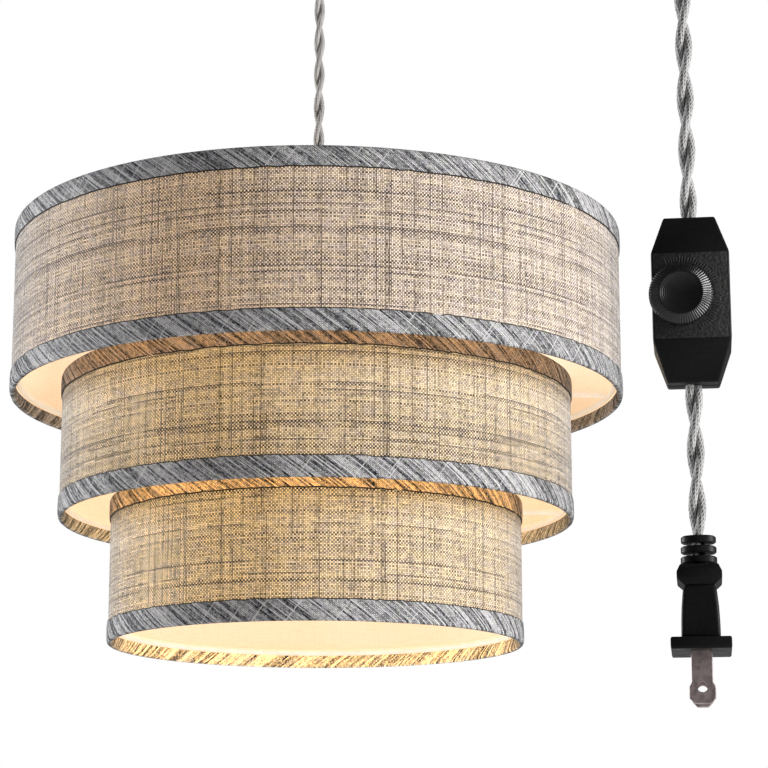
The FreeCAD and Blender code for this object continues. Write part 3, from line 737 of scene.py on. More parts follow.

# Painted light: these emissions stand in for the bulb's light through each drum's cloth, on the lower drums'
# top tapes from inside the drum above, and on the folds inside.
linen_glow = [(0.44, 0.240, 0.065, 1), (0.55, 0.300, 0.050, 1), (0.64, 0.350, 0.055, 1)]
tape_glow = [(0.0, 0.0, 0.0, 1), (0.41, 0.175, 0.030, 1), (1.22, 0.57, 0.11, 1)]  # top tapes
# Painted shade: the top tapes of the lower drums are darker and warmer, since they hang under the drum above.
top_tape_shade = [(1.0, 1.0, 1.0, 1), (0.78, 0.66, 0.53, 1), (0.90, 0.72, 0.54, 1)]
fold_glow = [(0.30, 0.18, 0.08, 1), (1.0, 0.62, 0.25, 1), (2.3, 1.34, 0.42, 1)]  # the folds inside
drum_shade = (1.0, 0.86, 0.88)


def lining_material():
    """White styrene, with a painted warm glow for the bulb's light from inside, and the linen's threads
    faintly showing through.
    """
    t = Tree("lining")
    u, v = round_the_drum(t, 0.12)
    threads = t.noise(t.vector(u, v * 0.12), 900.0, 1.0)
    rows = t.noise(t.vector(u * 0.12, v, 4.0), 900.0, 1.0)
    soft = t.noise(t.place(), 14.0, 1.0)
    # Painted light: the emission stands in for the bulb's light on the lining. It varies softly in warmth and
    # is a little darker along the linen's threads.
    glow = t.mix(t.ramp(soft, 0.3, 0.7), (0.92, 0.60, 0.36, 1), (1.0, 0.72, 0.48, 1))
    glow = t.mix(t.ramp(threads + rows, 0.75, 1.25), t.tint(glow, (0.93, 0.90, 0.85, 1)), glow)
    return t.surface(Base_Color=(0.55, 0.50, 0.42, 1), Roughness=0.42, Emission_Color=glow,
                     Emission_Strength=0.67)


lining = lining_material()
# Painted shadow: a near-black finish for the tape's free edge, which draws the thin shadow line under the
# tape.
edge_shadow = Tree("edge_shadow").surface(Base_Color=(0.016, 0.013, 0.011, 1), Roughness=0.9)


def lapped(piece):
    """Raise the lapped seam at the back of a drum's cloth."""
    edit(piece)
    picked(piece, lambda co: co.y > lamp.y and abs(co.x - lamp.x) < seam_half * MM)
    bpy.ops.transform.resize(value=(seam_rise, seam_rise, 1), center_override=(lamp.x, lamp.y, 0))
    fresh()


def wandering(piece, height, reach, seed):
    """Let the tape's free edge, at the given height, wander a little up and down."""
    spread = np.random.default_rng(seed).normal(0, wander, 400)
    edit(piece)
    mesh = bmesh.from_edit_mesh(piece.data)
    for corner in mesh.verts:
        if abs(corner.co.z - height * MM) < reach * MM:
            angle = math.atan2(corner.co.y - lamp.y, corner.co.x - lamp.x)
            corner.co.z += spread[int((angle / math.pi + 1) * 199)]
    bmesh.update_edit_mesh(piece.data)
    fresh()


def tape(name, material, fold, radius, edge, inward, wall, node, seed):
    """Bias tape folded over an edge: inward is +1 over a bottom edge and -1 over a top edge."""
    outer, inner = radius + tape_t, radius - wall - tape_t
    hook = [(radius, tape_out), (outer - 0.25, tape_out), (outer - 0.02, tape_out - 0.5),
            (outer + 0.12, 7.0), (outer + 0.15, 4.0), (outer, 1.4), (outer - 0.3, 0.5), (outer - 0.9, 0.0),
            (inner + 0.9, 0.0), (inner + 0.2, 0.5), (inner, 1.3), (inner - 0.08, 3.5),
            (inner + 0.05, tape_in), (inner + 0.3, tape_in + 0.6), (inner + tape_t, tape_in + 0.4),
            (inner + tape_t, 0.9), (inner + tape_t + 0.4, tape_t), (radius - 0.3, tape_t), (radius, 0.9),
            (radius, tape_out)]
    stations = [(r, edge + inward * rise) for r, rise in hook]
    piece = turned(name, material, stations, 256, at=lamp, smooth_deg=60)
    wandering(piece, edge + inward * tape_out, 0.6, seed)
    piece.data.materials.append(fold)
    piece.data.materials.append(edge_shadow)
    for face in piece.data.polygons:
        away = Vector((face.center.x - lamp.x, face.center.y - lamp.y, 0))
        # Painted light: the bottom tape's fold inside the drum takes the fold finish, whose warm glow stands
        # in for the bulb's light on it.
        if inward > 0 and away.length < (inner + 1.2) * MM and face.normal.dot(away.normalized()) < 0.8:
            face.material_index = 1
        # Painted shadow: the faces along the tape's free edge, outside the cloth, take the near-black finish.
        if away.length > radius * MM and abs(face.center.z - (edge + inward * tape_out) * MM) < 0.5 * MM:
            face.material_index = 2
    return stands_for(piece, "pendant", "trim", node)


for tier, drum in enumerate(drums, start=1):
    r, low, high = drum["radius"], drum["low"], drum["high"]
    steps = [low + (high - low) * k / 6 for k in range(7)]
    shell = [(r, z) for z in steps] + [(r - fabric_t, z) for z in reversed(steps)] + [(r, low)]
    skin = linen("linen_%d" % tier, r * MM, linen_glow[tier - 1], drum_shade[tier - 1])
    fabric = turned("linen_%d" % tier, skin, shell, 256, at=lamp)
    lapped(fabric)
    stands_for(fabric, "pendant", "linen", "fabric_%d" % tier)
    wall = fabric_t + lining_t
    shell = [(r - fabric_t - 0.02, z) for z in steps] + [(r - wall, z) for z in reversed(steps)]
    inside = turned("lining_%d" % tier, lining, shell + shell[:1], 256, at=lamp)
    stands_for(inside, "pendant", "liner", "liner_%d" % tier)
    bias = bias_linen("bias_linen_bottom_%d" % tier, r * MM, (0, 0, 0, 1))
    fold = bias_linen("bias_linen_fold_%d" % tier, r * MM, fold_glow[tier - 1])
    tape("tape_bottom_%d" % tier, bias, fold, r, drum["bottom"], 1, wall, "bottom_trim_%d" % tier, tier)
    bias = bias_linen("bias_linen_top_%d" % tier, r * MM, tape_glow[tier - 1], top_tape_shade[tier - 1])
    round_wire = wall + 2 * wire_r + 0.1  # the top tapes go round the wire as well
    tape("tape_top_%d" % tier, bias, fold, r, drum["top"], -1, round_wire, "top_trim_%d" % tier, 10 + tier)
    2 * math.pi * (r - fabric_t / 2) * MM
    (high - low) * MM
    "lining_%d" % tier
    "tape_bottom_%d" % tier
    "tape_top_%d" % tier

# %% [markdown]
# ## The wire frame
#
# Each drum is stretched over a wire ring at the top and one near the bottom.  Spokes carry the lower drums
# from the ring above, and three arms slope from the top ring to a washer that the socket clamps.  The wire
# is coated white and the spokes are welded on, so each end gets a small bead.

# %% Build the wire frame


def white_coat(name, glow):
    t = Tree(name)
    orange_peel = t.noise(t.place(), 1400.0, 2.0)
    drips = t.noise(t.place(), 220.0, 2.0)
    colour = t.mix(t.ramp(drips, 0.4, 0.65), (0.78, 0.75, 0.73, 1), (0.86, 0.84, 0.82, 1))
    # Painted light: the glow is an emission that stands in for the bulb's light falling on the wire. It is
    # off on the hooks.
    return t.surface(Base_Color=colour, Roughness=0.38, Normal=t.bump(orange_peel, 0.00006, 0.6),
                     Emission_Color=(0.9, 0.66, 0.40, 1), Emission_Strength=glow)


coat = white_coat("white_coat", 0.0)
# Painted light: the wire frame's coat glows warm for the bulb's light on it.
lit_coat = white_coat("lit_white_coat", 0.45)  # inside the drums, near the bulb
spoke_degs = (4.0, 124.0, 244.0)


def on_drum(angle_deg, radius, z):
    a = math.radians(angle_deg)
    return lamp + Vector((radius * math.cos(a) * MM, radius * math.sin(a) * MM, z * MM))


def ring(name, node):
    """A smooth ring of wire in the place of a CAD ring."""
    low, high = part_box(node)
    radius, z = (high.x - low.x) / 2 / MM - wire_r, (low.z + high.z) / 2 / MM
    section = [(radius + wire_r * math.cos(math.radians(a)), z + wire_r * math.sin(math.radians(a)))
               for a in range(0, 361, 30)]
    piece = turned(name, lit_coat, section, 192, at=lamp, smooth_deg=80)
    return piece, radius, z


def bead(at, size):
    """A weld: a flattened drop of metal."""
    profile = [(0, -size * 0.8), (size * 0.7, -size * 0.6), (size, 0), (size * 0.7, size * 0.6),
               (0, size * 0.8)]
    return turned("bead", lit_coat, profile, 14, at=at, smooth_deg=80)


rings = {}
for tier in (1, 2, 3):
    for end in ("top", "bottom"):
        name = "%s_ring_%d" % (end, tier)
        piece, radius, z = ring("wire_" + name, name)
        rings[name] = (radius, z)
        stands_for(piece, "pendant", "white_wire", name)
for tier in (2, 3):
    inner, outer = rings["top_ring_%d" % tier], rings["bottom_ring_%d" % (tier - 1)]
    parts = []
    for angle_deg in spoke_degs:
        start, end = on_drum(angle_deg, *inner), on_drum(angle_deg, *outer)
        parts += [rod("spoke", lit_coat, start, end, wire_r * 0.97), bead(start, 2.1), bead(end, 2.1)]
    spokes = joined(parts, "wire_spokes_%d" % tier, lit_coat)
    stands_for(spokes, "pendant", "white_wire", "spokes_%d" % tier)

washer_low, washer_high = heights("spider_washer")
washer_outline = above(washer_low, (19.3, 0.3), (19.6, 0), (26.6, 0), (27.0, 0.3))
washer_outline += above(washer_high, (27.0, -0.3), (26.6, 0), (19.6, 0), (19.3, -0.3))
washer_outline.append(washer_outline[0])
on_axis("washer", lit_coat, washer_outline, 96, "white_wire", "spider_washer")
arm_z = (washer_low + washer_high) / 2 + 0.7
parts = []
for angle_deg in spoke_degs:
    start, end = on_drum(angle_deg, 26.4, arm_z), on_drum(angle_deg, *rings["top_ring_1"])
    parts += [rod("arm", lit_coat, start, end, wire_r), bead(start, 2.2), bead(end, 2.1)]
stands_for(joined(parts, "wire_arms", lit_coat), "pendant", "white_wire", "spider_arms")

# %% [markdown]
# ## The socket and its grip
#
# A black keyless socket of the screw-together kind: a threaded body that the washer and a ring nut sit on,
# a cap with ribs for the fingers, and a cord grip on top.  All are turned.  The threads are rings and not
# a helix, since nobody can tell at this size and rings stay closed.

# %% Plastics


def moulded(name, colour, gloss, grain=0.0, grain_scale=900.0, speck=0.35, shine=0.4):
    """Moulded plastic: an even colour with a little wear, and a spark-eroded grain if it has one."""
    t = Tree(name)
    wear = t.noise(t.place(), 320.0, 3.0)
    fine = t.noise(t.place(), grain_scale, 2.0, 0.7)
    lighter = tuple(value * (1 + speck) + 0.001 for value in colour[:3]) + (1,)
    shade = t.mix(t.ramp(fine, 0.35, 0.75), colour, lighter)
    rough = t.ramp(wear, 0.3, 0.7, gloss - 0.05, gloss + 0.08)
    return t.surface(Base_Color=shade, Roughness=rough, Specular_IOR_Level=shine,
                     Normal=t.bump(fine, max(grain, 0.00002), 0.7))


black_smooth = moulded("black_smooth", (0.0095, 0.0097, 0.0100, 1), 0.34, speck=0.2, shine=0.06)
black_grained = moulded("black_grained", (0.012, 0.012, 0.0117, 1), 0.5, 0.00040, 1100.0, 1.8, shine=0.4)
black_socket = moulded("black_socket", (0.012, 0.012, 0.012, 1), 0.42, 0.00004)

# %% Build the socket
mouth, joint = heights("socket_body")
cap_top, grip_top = heights("socket_cap")[1], heights("cord_grip")[1]
bore_r, body_r = 16.4, 19.0
body_outline = above(mouth, (bore_r, 0.5), (bore_r + 0.4, 0), (body_r - 0.6, 0), (body_r - 0.1, 0.6))
z = mouth + 2.0
while z < washer_low - 8.0:
    body_outline += above(z, (body_r, 0), (body_r, 0.6), (body_r - 0.7, 1.1), (body_r - 0.7, 1.7))
    z += 2.2
body_outline += above(z, (body_r, 0.5))
body_outline += above(washer_high, (body_r, 0), (22.5, 0), (23.0, 0.5), (23.0, 3.4), (22.4, 4.0),
                      (body_r + 0.4, 4.0), (body_r, 4.5))
body_outline += above(joint, (body_r, -0.4), (body_r - 0.4, 0), (bore_r, 0)) + above(mouth, (bore_r, 0.5))
on_axis("socket_lower", black_socket, body_outline, 96, "black_plastic", "socket_body")
side = joint + 0.45 * (cap_top - joint)  # the cap's upright side ends here
cap_outline = above(joint, (bore_r, 0), (body_r - 0.5, 0), (body_r, 0.5), (body_r, 1.4), (body_r - 0.05, 1.5))
cap_outline += above(side, (body_r - 0.05, -1.5), (body_r, -1.4), (body_r, -0.4), (18.3, 0.9), (13.6, 7.0))
cap_outline += above(cap_top, (10.0, -1.6), (9.0, -0.4), (8.2, 0), (3.1, 0), (3.1, -2.4), (7.5, -2.4))
cap_outline += above(joint, (bore_r, 9.6), (bore_r, 0))
on_axis("socket_upper", black_socket, cap_outline, 120, "black_plastic", "socket_cap",
        (joint + 1.45, side - 1.45, 3, 0.965))
grip_outline = above(cap_top, (2.8, 0), (6.6, 0), (7.0, 0.4), (7.0, 9.0), (6.6, 10.2))
grip_outline += above(grip_top, (5.2, -0.9), (4.4, -0.1), (3.4, 0), (2.8, -0.5)) + above(cap_top, (2.8, 0))
on_axis("grip", black_socket, grip_outline, 48, "black_plastic", "cord_grip",
        (cap_top + 0.3, cap_top + 9.1, 2, 0.96))
nut_low, nut_high = heights("shade_ring")
nut_outline = above(nut_low, (19.05, 0.3), (19.5, 0), (24.6, 0), (25.4, 0.7), (25.5, 0.8))
nut_outline += above(nut_high, (25.5, -0.8), (25.4, -0.7), (24.8, 0), (19.05, 0)) + nut_outline[:1]
on_axis("ring_nut", black_socket, nut_outline, 144, "black_plastic", "shade_ring",
        (nut_low + 0.75, nut_high - 0.75, 3, 0.97))

# %% [markdown]
# ## The bulb
#
# A frosted LED globe: the globe glows, the ribbed housing below the screw cap carries the heat away, and
# the cap has the usual rolled thread, a black glass ring and a centre contact.

# %% Build the bulb
cap_low, cap_high = heights("bulb_cap")
globe_low, rim_z = heights("bulb_globe")[0], heights("bulb_housing")[0]
globe_r = 30.0
globe_z = globe_low + globe_r


def bare_metal(name, colour, rough, scale=700.0, dull=0.6, depth=0.00003):
    """Plain metal with fine scuffs and a faint tarnish."""
    t = Tree(name)
    scuff = t.noise(t.place(), scale, 3.0, 0.6)
    stain = t.noise(t.place(), scale * 0.2, 2.0)
    shade = t.mix(t.ramp(stain, 0.35, 0.7), colour, tuple(value * dull for value in colour[:3]) + (1,))
    rough = t.ramp(scuff, 0.3, 0.75, rough - 0.08, rough + 0.14)
    return t.surface(Base_Color=shade, Metallic=1.0, Roughness=rough, Normal=t.bump(scuff, depth, 0.6))


def opal():
    t = Tree("opal")
    frost = t.noise(t.place(), 1500.0, 2.0)
    return t.surface(Base_Color=(0.93, 0.91, 0.87, 1), Roughness=0.45, Subsurface_Weight=0.15,
                     Emission_Color=(1.0, 0.76, 0.46, 1), Emission_Strength=4.0,
                     Normal=t.bump(frost, 0.00002, 0.4))


globe_outline = [(0, rim_z), (23.4, rim_z)]
for a in range(37, -84, -7):
    a = math.radians(a)
    globe_outline.append((globe_r * math.cos(a), globe_z + globe_r * math.sin(a)))
globe_outline.append((0, globe_low))
on_axis("globe", opal(), globe_outline, 72, "bulb_glass", "bulb_globe", body="bulb", smooth_deg=60)
neck_outline = above(rim_z, (0, 0), (24.0, 0), (24.0, 1.2), (23.4, 2.0), (22.6, 4.0), (20.4, 11.0),
                     (18.0, 19.0), (16.0, 25.0))
neck_outline += above(cap_low, (14.7, -4.2), (14.5, -3.6), (13.7, -0.5), (13.2, 0), (0, 0))
bulb_white = moulded("bulb_white", (0.74, 0.735, 0.72, 1), 0.4, 0.00003, 1200.0, 0.05)
on_axis("neck", bulb_white, neck_outline, 96, "bulb_plastic", "bulb_housing",
        (rim_z + 3.0, rim_z + 26.0, 4, 0.94), "bulb")
cap_outline, z = above(cap_low, (0, 0.2), (12.9, 0.2)), cap_low + 1.0
while z < cap_high - 4.0:
    cap_outline += above(z, (12.2, 0), (12.5, 0.6), (13.1, 1.5), (13.1, 2.0), (12.5, 2.9))
    z += 3.63
cap_outline += above(z, (12.2, 0)) + above(cap_high, (12.2, -1.0), (11.6, 0), (0, 0))
nickel_thread = bare_metal("nickel_thread", (0.70, 0.66, 0.58, 1), 0.28)
on_axis("screw_cap", nickel_thread, cap_outline, 72, "screw_shell", "bulb_cap", body="bulb")
black_glass = moulded("black_glass", (0.010, 0.009, 0.010, 1), 0.12)
glass_outline = above(cap_high, (0, 0), (11.6, 0), (11.0, 0.5), (7.0, 2.6), (4.9, 3.5), (0, 3.6))
on_axis("glass_ring", black_glass, glass_outline, 60, "insulator", "bulb_insulator", body="bulb")
tip_outline = above(cap_high, (0, 3.6), (4.5, 3.6), (4.3, 3.9), (3.0, 4.3), (1.2, 4.48), (0, 4.5))
on_axis("centre_tip", nickel_thread, tip_outline, 40, "screw_shell", "bulb_contact", body="bulb")

# %% [markdown]
# ## The dimmer
#
# A black housing in two halves, straight in the middle and tapered towards both cord ends.  Its middle face
# is grained and its ends are smooth.  The dial stands a little past one side, so that a thumb can turn it.
# It has a grooved band round a shallow dish with fine turned rings, and a scale of raised ticks runs round
# it.  The whole end of the cord is turned a few degrees: the dial's own axis in the frame says how much.

# %% Build the dimmer
dial_joint = [joint for joint in frame["record"]["behaviour"]["joints"] if joint["name"] == "dial_turn"][0]
dial_axis = Vector(dial_joint["axis"])
drop_turn = math.atan2(-dial_axis.x, dial_axis.y)
dimmer_at = drop + UP * middle("dimmer_front").z
half_h = (heights("dimmer_front")[1] - heights("dimmer_front")[0]) / 2
half_w, end_half_w, waist_h = 12.1, 8.0, 13.9
half_depth, end_depth = 10.2, 5.2
seam = 0.06  # the parting line between the halves
print("the cord's end is turned", round(math.degrees(drop_turn), 2), "degrees")


def housing_half(name, front):
    rows = [(-half_h, end_half_w, end_depth), (-waist_h, half_w, half_depth), (waist_h, half_w, half_depth),
            (half_h, end_half_w, end_depth)]
    stations = [(z, w, d, -seam) if front else (z, w, -seam, d) for z, w, d in rows]
    return stacked(name, black_smooth, stations, 0.65, 3, 12.0, at=dimmer_at, turn=drop_turn)


front_half = housing_half("dimmer_face", True)
stands_for(front_half, "drop", "black_plastic", "dimmer_front")
back_half = housing_half("dimmer_rear", False)
stands_for(back_half, "drop", "black_plastic", "dimmer_back")
front_half.data.materials.append(black_grained)
toward_room = -(Matrix.Rotation(drop_turn, 3, "Z") @ Vector((0, 1, 0)))
for face in front_half.data.polygons:
    if face.normal.dot(toward_room) > 0.995:
        face.material_index = 1
knob_at = Vector(dial_joint["pos_m"])
knob_r, knob_out = 9.8, 3.6
dial_past = 0.9  # how far the dial stands past the side
dial_x = knob_r - half_w - dial_past
first_deg, step_deg, tick_gap = 112, 4.3, 0.9
ticks = []
for k in range(41):
    angle = math.radians(first_deg - step_deg * k)
    length = 2.2 if k % 5 == 0 else 1.7
    reach = knob_r + tick_gap + length / 2
    centre = Vector((dial_x + reach * math.cos(angle), 0, reach * math.sin(angle)))
    if abs(centre.x) > half_w - 1.8 or abs(centre.z) > waist_h - 1.6:
        continue
    fresh()
    bpy.ops.mesh.primitive_cube_add(size=MM)
    tick = bpy.context.object
    edit(tick)
    bpy.ops.transform.resize(value=(length, 0.24, 0.34))
    picked(tick, lambda co: co.y < 0)
    bpy.ops.transform.resize(value=(0.9, 1, 0.55), center_override=(0, 0, 0))
    only(tick)
    tick.rotation_euler = (0, -angle, 0)
    tick.location = (centre - Vector((0, half_depth + 0.06, 0))) * MM
    bpy.ops.object.transform_apply(location=True, rotation=True, scale=True)
    ticks.append(tick)
tick_black = moulded("tick_black", (0.060, 0.060, 0.060, 1), 0.3, shine=0.7)
scale = joined(ticks, "dial_scale", tick_black)
settle(scale, "dial_scale", tick_black, at=dimmer_at, turn=drop_turn)
stands_for(scale, "drop", "black_plastic")
print(len(ticks), "ticks")

rim_low, rim_high = 0.4, 0.4 + knob_out
band_in = 6.9  # the grooved band slopes up from the rim to here
dial_sides = 216
ring_step = 0.62 * MM  # from one turned ring to the next
dial_outline = [(0, rim_low), (knob_r - 0.7, rim_low), (knob_r, rim_low + 0.5), (knob_r, rim_high - 1.5),
                (knob_r - 0.35, rim_high - 1.15), (band_in + 0.35, rim_high - 0.1), (band_in, rim_high),
                (band_in - 0.3, rim_high - 0.05), (5.8, rim_high - 0.45), (4.4, rim_high - 0.85),
                (2.8, rim_high - 1.15), (1.5, rim_high - 1.28), (0, rim_high - 1.32)]


def turned_black():
    """Black plastic with fine turned rings about the dial's axis."""
    t = Tree("turned_black")
    away = t.put("VectorMath", {0: t.place(), 1: knob_at}, operation="SUBTRACT").outputs[0]
    away = t.put("VectorMath", {0: away, 1: toward_room}, operation="CROSS_PRODUCT").outputs[0]
    away = Value(t, t.put("VectorMath", {0: away}, operation="LENGTH").outputs["Value"])
    rings = t.math("SINE", away * (2 * math.pi / ring_step))
    rings = rings * t.ramp(away, (band_in - 0.3) * MM, band_in * MM, 1.0, 0.0)
    return t.surface(Base_Color=(0.008, 0.008, 0.0082, 1), Roughness=0.30, Specular_IOR_Level=0.45,
                     Normal=t.bump(rings, 0.000024))


dial = turned("dial", turned_black(), dial_outline, dial_sides, at=knob_at, towards=toward_room)
lean = toward_room.to_track_quat("Z", "Y").to_matrix().inverted()


def in_a_groove(co):
    local = lean @ (co - knob_at) / MM
    column = round(math.atan2(local.y, local.x) / (2 * math.pi) * dial_sides)
    out = math.hypot(local.x, local.y)
    return column % 3 == 0 and out > band_in + 0.2 and local.z > rim_low + 1.0


edit(dial)
picked(dial, in_a_groove)
bpy.ops.transform.resize(value=(0.94, 0.94, 0.94), center_override=knob_at)
fresh()
stands_for(dial, "knob", "black_plastic", "dimmer_knob")

# %% [markdown]
# ## The plug
#
# A moulded two-blade plug: three bars of strain relief on a thin web, a collar, a waisted body that widens
# towards the foot, and a flange.  One blade is wider at its tip.  The blades are flat bars with bevelled
# tips and a round hole, cut with a boolean.

# %% Build the plug
relief_top = heights("plug_relief")[1]
plug_face, collar_top = heights("plug_body")
on_end = {"at": drop, "turn": drop_turn}
bars = []
for k in range(3):
    top, wide = relief_top - 3.15 * k, 5.35 + 0.1 * k
    outline = above(top, (0, -2.3), (wide - 0.5, -2.3), (wide, -1.9), (wide, -0.4), (wide - 0.5, 0), (0, 0))
    bars.append(turned("bar", black_smooth, outline, 48, deep=0.78, **on_end))
web_rows = [(collar_top - 0.5, 2.0, 1.5, 1.5), (relief_top - 0.4, 1.7, 1.5, 1.5)]
bars.append(stacked("web", black_smooth, web_rows, 0.3, 2, **on_end))
stands_for(joined(bars, "strain_relief", black_smooth), "drop", "black_plastic", "plug_relief")
neck_z = collar_top - 6.3
foot_z = neck_z - 16.4
collar_rows = [(neck_z - 0.2, 4.65, 8.0, 8.0), (neck_z + 1.9, 6.85, 9.0, 9.0),
               (collar_top - 2.4, 6.85, 9.0, 9.0), (collar_top, 5.75, 7.9, 7.9)]
waist_rows = [(foot_z, 5.9, 10.0, 10.0), (neck_z - 11.8, 5.84, 9.9, 9.9), (neck_z - 6.9, 5.62, 9.56, 9.56),
              (neck_z - 2.3, 5.17, 8.84, 8.84), (neck_z, 4.65, 8.0, 8.0)]
flange_rows = [(plug_face, 8.9, 12.7, 12.7), (plug_face + 0.6, 9.15, 13.0, 13.0),
               (foot_z - 0.5, 9.15, 13.0, 13.0), (foot_z + 0.1, 8.9, 12.7, 12.7)]
shell = [stacked("collar", black_smooth, collar_rows, 0.3, 2, 20.0, **on_end),
         stacked("waist", black_smooth, waist_rows, 1.1, 4, 40.0, **on_end),
         stacked("flange", black_smooth, flange_rows, 0.5, 3, 12.0, **on_end)]
stands_for(joined(shell, "plug_shell", black_smooth), "drop", "black_plastic", "plug_body")

blade_metal = bare_metal("blade_metal", (0.53, 0.44, 0.43, 1), 0.46, 2600.0, 0.62, 0.00006)
blade_len, blade_half, wide_half, half_t = 15.9, 3.175, 3.97, 0.75
blade_side = 6.35  # from the plug's middle to each blade's middle
tip = plug_face - blade_len
for name, y, tip_half in (("plug_blade_neutral", -blade_side, wide_half),
                          ("plug_blade_hot", blade_side, blade_half)):
    rows = [(tip, tip_half - 1.5), (tip + 1.6, tip_half), (plug_face - 10.9, tip_half),
            (plug_face - 9.4, blade_half), (plug_face + 3.0, blade_half)]
    rows = [(z, w, half_t, half_t) for z, w in rows]
    blade = stacked(name + "_metal", blade_metal, rows, 0.22, 2, 20.0)
    fresh()
    bpy.ops.mesh.primitive_cylinder_add(vertices=32, radius=1.6 * MM, depth=6 * MM,
                                        location=(0, 0, (tip + 5.0) * MM), rotation=(math.pi / 2, 0, 0))
    cutter = bpy.context.object
    modify(blade, "BOOLEAN", operation="DIFFERENCE", object=cutter, solver="EXACT")
    bpy.data.objects.remove(cutter)
    spot = drop + Matrix.Rotation(drop_turn, 3, "Z") @ Vector((0, y * MM, 0))
    settle(blade, name + "_metal", blade_metal, at=spot, turn=drop_turn)
    stands_for(blade, "drop", "nickel", name)

# %% [markdown]
# ## The ceiling hooks
#
# Two screw hooks of white coated wire: a threaded shank for the ceiling, a small collar plate, and a round
# bowl.  We extrude the wire's round section down, then spin it round the bend and round the bowl.

# %% Build the hooks


def hook(name, at, node):
    fresh()
    wire = 3.0 * MM
    bpy.ops.mesh.primitive_circle_add(vertices=16, radius=wire, fill_type="NGON")
    piece = bpy.context.object
    edit(piece)
    bend, bowl_r, bowl_z = 4.0 * MM, 17.5 * MM, -31.5 * MM
    bowl_turn, tip_lean = math.radians(295), math.radians(25)
    rise = math.sqrt((bowl_r + bend) ** 2 - bend ** 2)
    lean = math.asin(bend / (bowl_r + bend))
    bend_z = bowl_z + rise
    bpy.ops.mesh.delete(type="ONLY_FACE")
    bpy.ops.mesh.select_all(action="SELECT")
    bpy.ops.mesh.extrude_edges_move(TRANSFORM_OT_translate={"value": (0, 0, bend_z)})
    # With this piece's X along the swag's side, the bend turns about Y.
    bpy.ops.mesh.spin(steps=10, angle=math.pi / 2 - lean, center=(-bend, 0, bend_z), axis=(0, 1, 0))
    bpy.ops.mesh.spin(steps=52, angle=bowl_turn - lean, center=(0, 0, bowl_z), axis=(0, -1, 0))
    mesh = bmesh.from_edit_mesh(piece.data)
    end = [v.co.copy() for v in mesh.verts if v.select]
    end_middle = sum(end, Vector()) / len(end)
    for share, ahead in ((0.93, 1.0), (0.72, 0.9), (0.38, 0.7)):
        onward = Vector((-math.sin(tip_lean), 0, math.cos(tip_lean))) * ahead * MM
        bpy.ops.mesh.extrude_edges_move(TRANSFORM_OT_translate={"value": onward})
        end_middle = end_middle + onward
        bpy.ops.transform.resize(value=(share, share, share), center_override=end_middle)
    bpy.ops.mesh.edge_face_add()
    close_up()
    across = math.atan2(swag_side.y, swag_side.x)
    settle(piece, name, coat, at=at, turn=across)
    profile, z = [(0, -2.0), (7.5, -2.0), (8.0, -1.6), (8.0, -0.5), (7.4, 0.0), (2.2, 0.0)], 0.6
    while z < 23.0:
        profile += [(2.05, z), (2.5, z + 0.55), (2.5, z + 0.75), (2.05, z + 1.3)]
        z += 1.7
    profile += [(2.0, z), (1.2, z + 7.0), (0.4, 36.6), (0, 37.0)]
    screw = turned("screw", coat, profile, 28, at=at)
    both = joined([piece, screw], name, coat)
    return stands_for(both, "root", "hook_white", node)


hook("lamp_hook", lamp_hook, "hook_lamp")
hook("swag_hook", lamp_hook + swag_dir * middle("hook_cord").dot(swag_dir), "hook_cord")

# %% [markdown]
# ## The coil's ties
#
# Two strips of black hook-and-loop tape hold the spare cord.  Each is a flat band, turned about the bundle
# where it sits.

# %% Build the ties


def hook_and_loop():
    t = Tree("hook_and_loop")
    parts = t.noise(t.place(), 1900.0, 3.0, 0.8)
    colour = t.mix(t.ramp(parts, 0.3, 0.7), (0.010, 0.010, 0.011, 1), (0.060, 0.060, 0.063, 1))
    return t.surface(Base_Color=colour, Roughness=0.9, Normal=t.bump(parts, 0.0003, 0.9), Sheen_Weight=0.4,
                     Sheen_Roughness=0.5)


tie_cloth = hook_and_loop()
coil_hub = lamp_hook + swag_dir * coil_middle.dot(swag_dir) + UP * coil_middle.z
ties = []
for at_deg in (215.0, 300.0):
    a = math.radians(at_deg)
    out = swag_dir * math.cos(a) + UP * math.sin(a)
    along = UP * math.cos(a) - swag_dir * math.sin(a)
    spot = coil_hub + out * turn_r
    band = [(14.0, -4.1), (14.9, -4.3), (15.2, -3.9), (15.15, 0.0), (15.2, 3.9), (14.9, 4.3), (14.0, 4.1),
            (14.0, -4.1)]
    ties.append(turned("band", tie_cloth, band, 64, at=spot, towards=along))
tie = joined(ties, "coil_straps", tie_cloth)
stands_for(tie, "root", "tie", "coil_tie")

# %% [markdown]
# ## The parts inside
#
# The dimmer's circuit, clamps and screws and the socket's contacts stay as the CAD made them, since their
# shapes are right.  They only need their finishes.

# %% Finishes for the parts inside
brass = bare_metal("brass", (0.72, 0.50, 0.20, 1), 0.32)
steel = bare_metal("zinc_steel", (0.55, 0.56, 0.58, 1), 0.34)
shell_metal = bare_metal("shell_metal", (0.68, 0.62, 0.50, 1), 0.3)


def circuit_board():
    t = Tree("circuit_board")
    tracks = t.put("TexVoronoi", {"Vector": t.place(), "Scale": 420.0},
                   feature="DISTANCE_TO_EDGE").outputs[0]
    colour = t.mix(t.ramp(tracks, 0.05, 0.12), (0.10, 0.20, 0.06, 1), (0.030, 0.095, 0.035, 1))
    return t.surface(Base_Color=colour, Roughness=0.35, Normal=t.bump(tracks, 0.00004, 0.5))


def finish_node(material, *names):
    for name in names:
        nodes[name].data.materials.clear()
        nodes[name].data.materials.append(material)


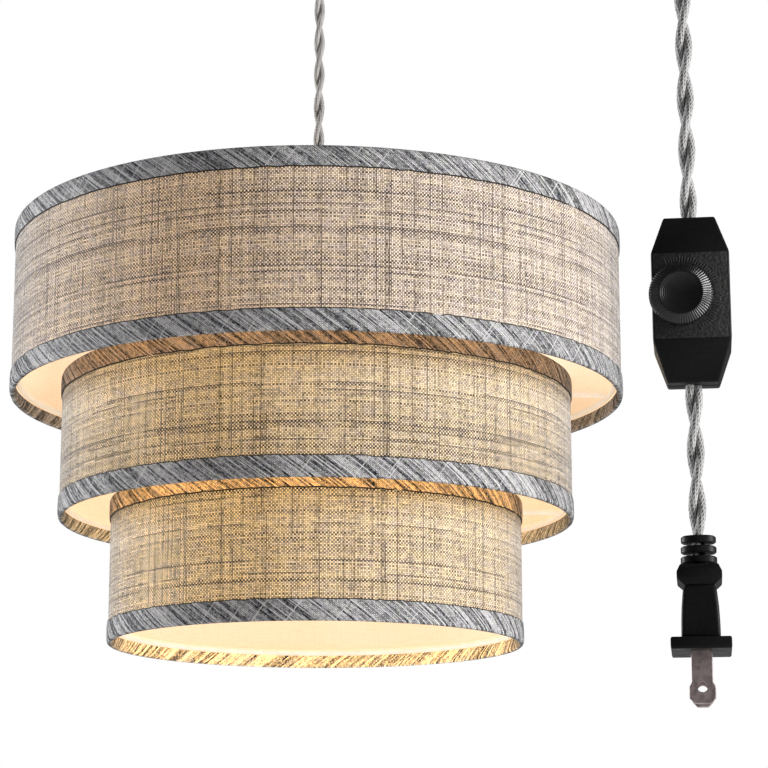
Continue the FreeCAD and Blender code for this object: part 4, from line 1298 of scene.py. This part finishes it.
finish_node(brass, "socket_contact", "socket_terminals")
finish_node(shell_metal, "socket_shell")
finish_node(moulded("ceramic", (0.62, 0.60, 0.55, 1), 0.5, 0.00005, 1500.0, 0.1), "socket_insulator")
finish_node(steel, "cord_grip_screw", "dimmer_screws")
finish_node(circuit_board(), "dimmer_board")
grey_nylon = moulded("grey_nylon", (0.30, 0.30, 0.31, 1), 0.5, 0.00003)
finish_node(grey_nylon, "dimmer_clamps", "dimmer_pot", "dimmer_shaft")

# %% [markdown]
# ## The room
#
# A pale floor well below the lamp and a white surround.  A large soft light stands to the right of the
# camera and another one to the left and a little behind the lamp, so that the drums are brightest at
# the right, darkest a little left of the middle, and pick up a rim on the left.

# %% Stage and lights
fresh()
floor_z = -0.78
bpy.ops.mesh.primitive_plane_add(size=6, location=(0, 0, floor_z))
floor = bpy.context.object
floor.name = "floor"
pale = Tree("pale_floor")
spots = pale.noise(pale.place(), 6.0, 2.0)
tones = pale.mix(spots, (0.80, 0.80, 0.80, 1), (0.84, 0.84, 0.84, 1))
floor.data.materials.append(pale.surface(Base_Color=tones, Roughness=0.7))

fill = 0.095  # the surround lights the lamp less than it looks white
world = bpy.data.worlds.new("studio")
bpy.context.scene.world = world
world.use_nodes = True
background = world.node_tree.nodes["Background"]
seen = world.node_tree.nodes.new("ShaderNodeLightPath")
level = world.node_tree.nodes.new("ShaderNodeMapRange")
level.inputs["To Min"].default_value = fill
level.inputs["To Max"].default_value = 1.0
world.node_tree.links.new(seen.outputs["Is Camera Ray"], level.inputs["Value"])
world.node_tree.links.new(level.outputs[0], background.inputs["Strength"])
background.inputs["Color"].default_value = (1, 1, 1, 1)


def softbox(name, bearing_deg, distance, height, size, power, colour):
    """A square light at a bearing from the front (-Y), turning towards +X, that faces the lamp."""
    data = bpy.data.lights.new(name, "AREA")
    data.size = size
    data.energy = power
    data.color = colour
    a = math.radians(bearing_deg)
    light = bpy.data.objects.new(name, data)
    light.location = (lamp.x + distance * math.sin(a), lamp.y - distance * math.cos(a), height)
    aim = Vector((lamp.x, lamp.y, -0.3)) - light.location
    light.rotation_euler = aim.to_track_quat("-Z", "Y").to_euler()
    bpy.context.scene.collection.objects.link(light)


softbox("key", 62, distance=2.2, height=0.05, size=0.9, power=72, colour=(1.0, 0.995, 0.99))
softbox("rim", -107, distance=2.0, height=0.0, size=0.8, power=62, colour=(0.97, 0.985, 1.0))
bpy.context.scene.view_settings.view_transform = "Standard"
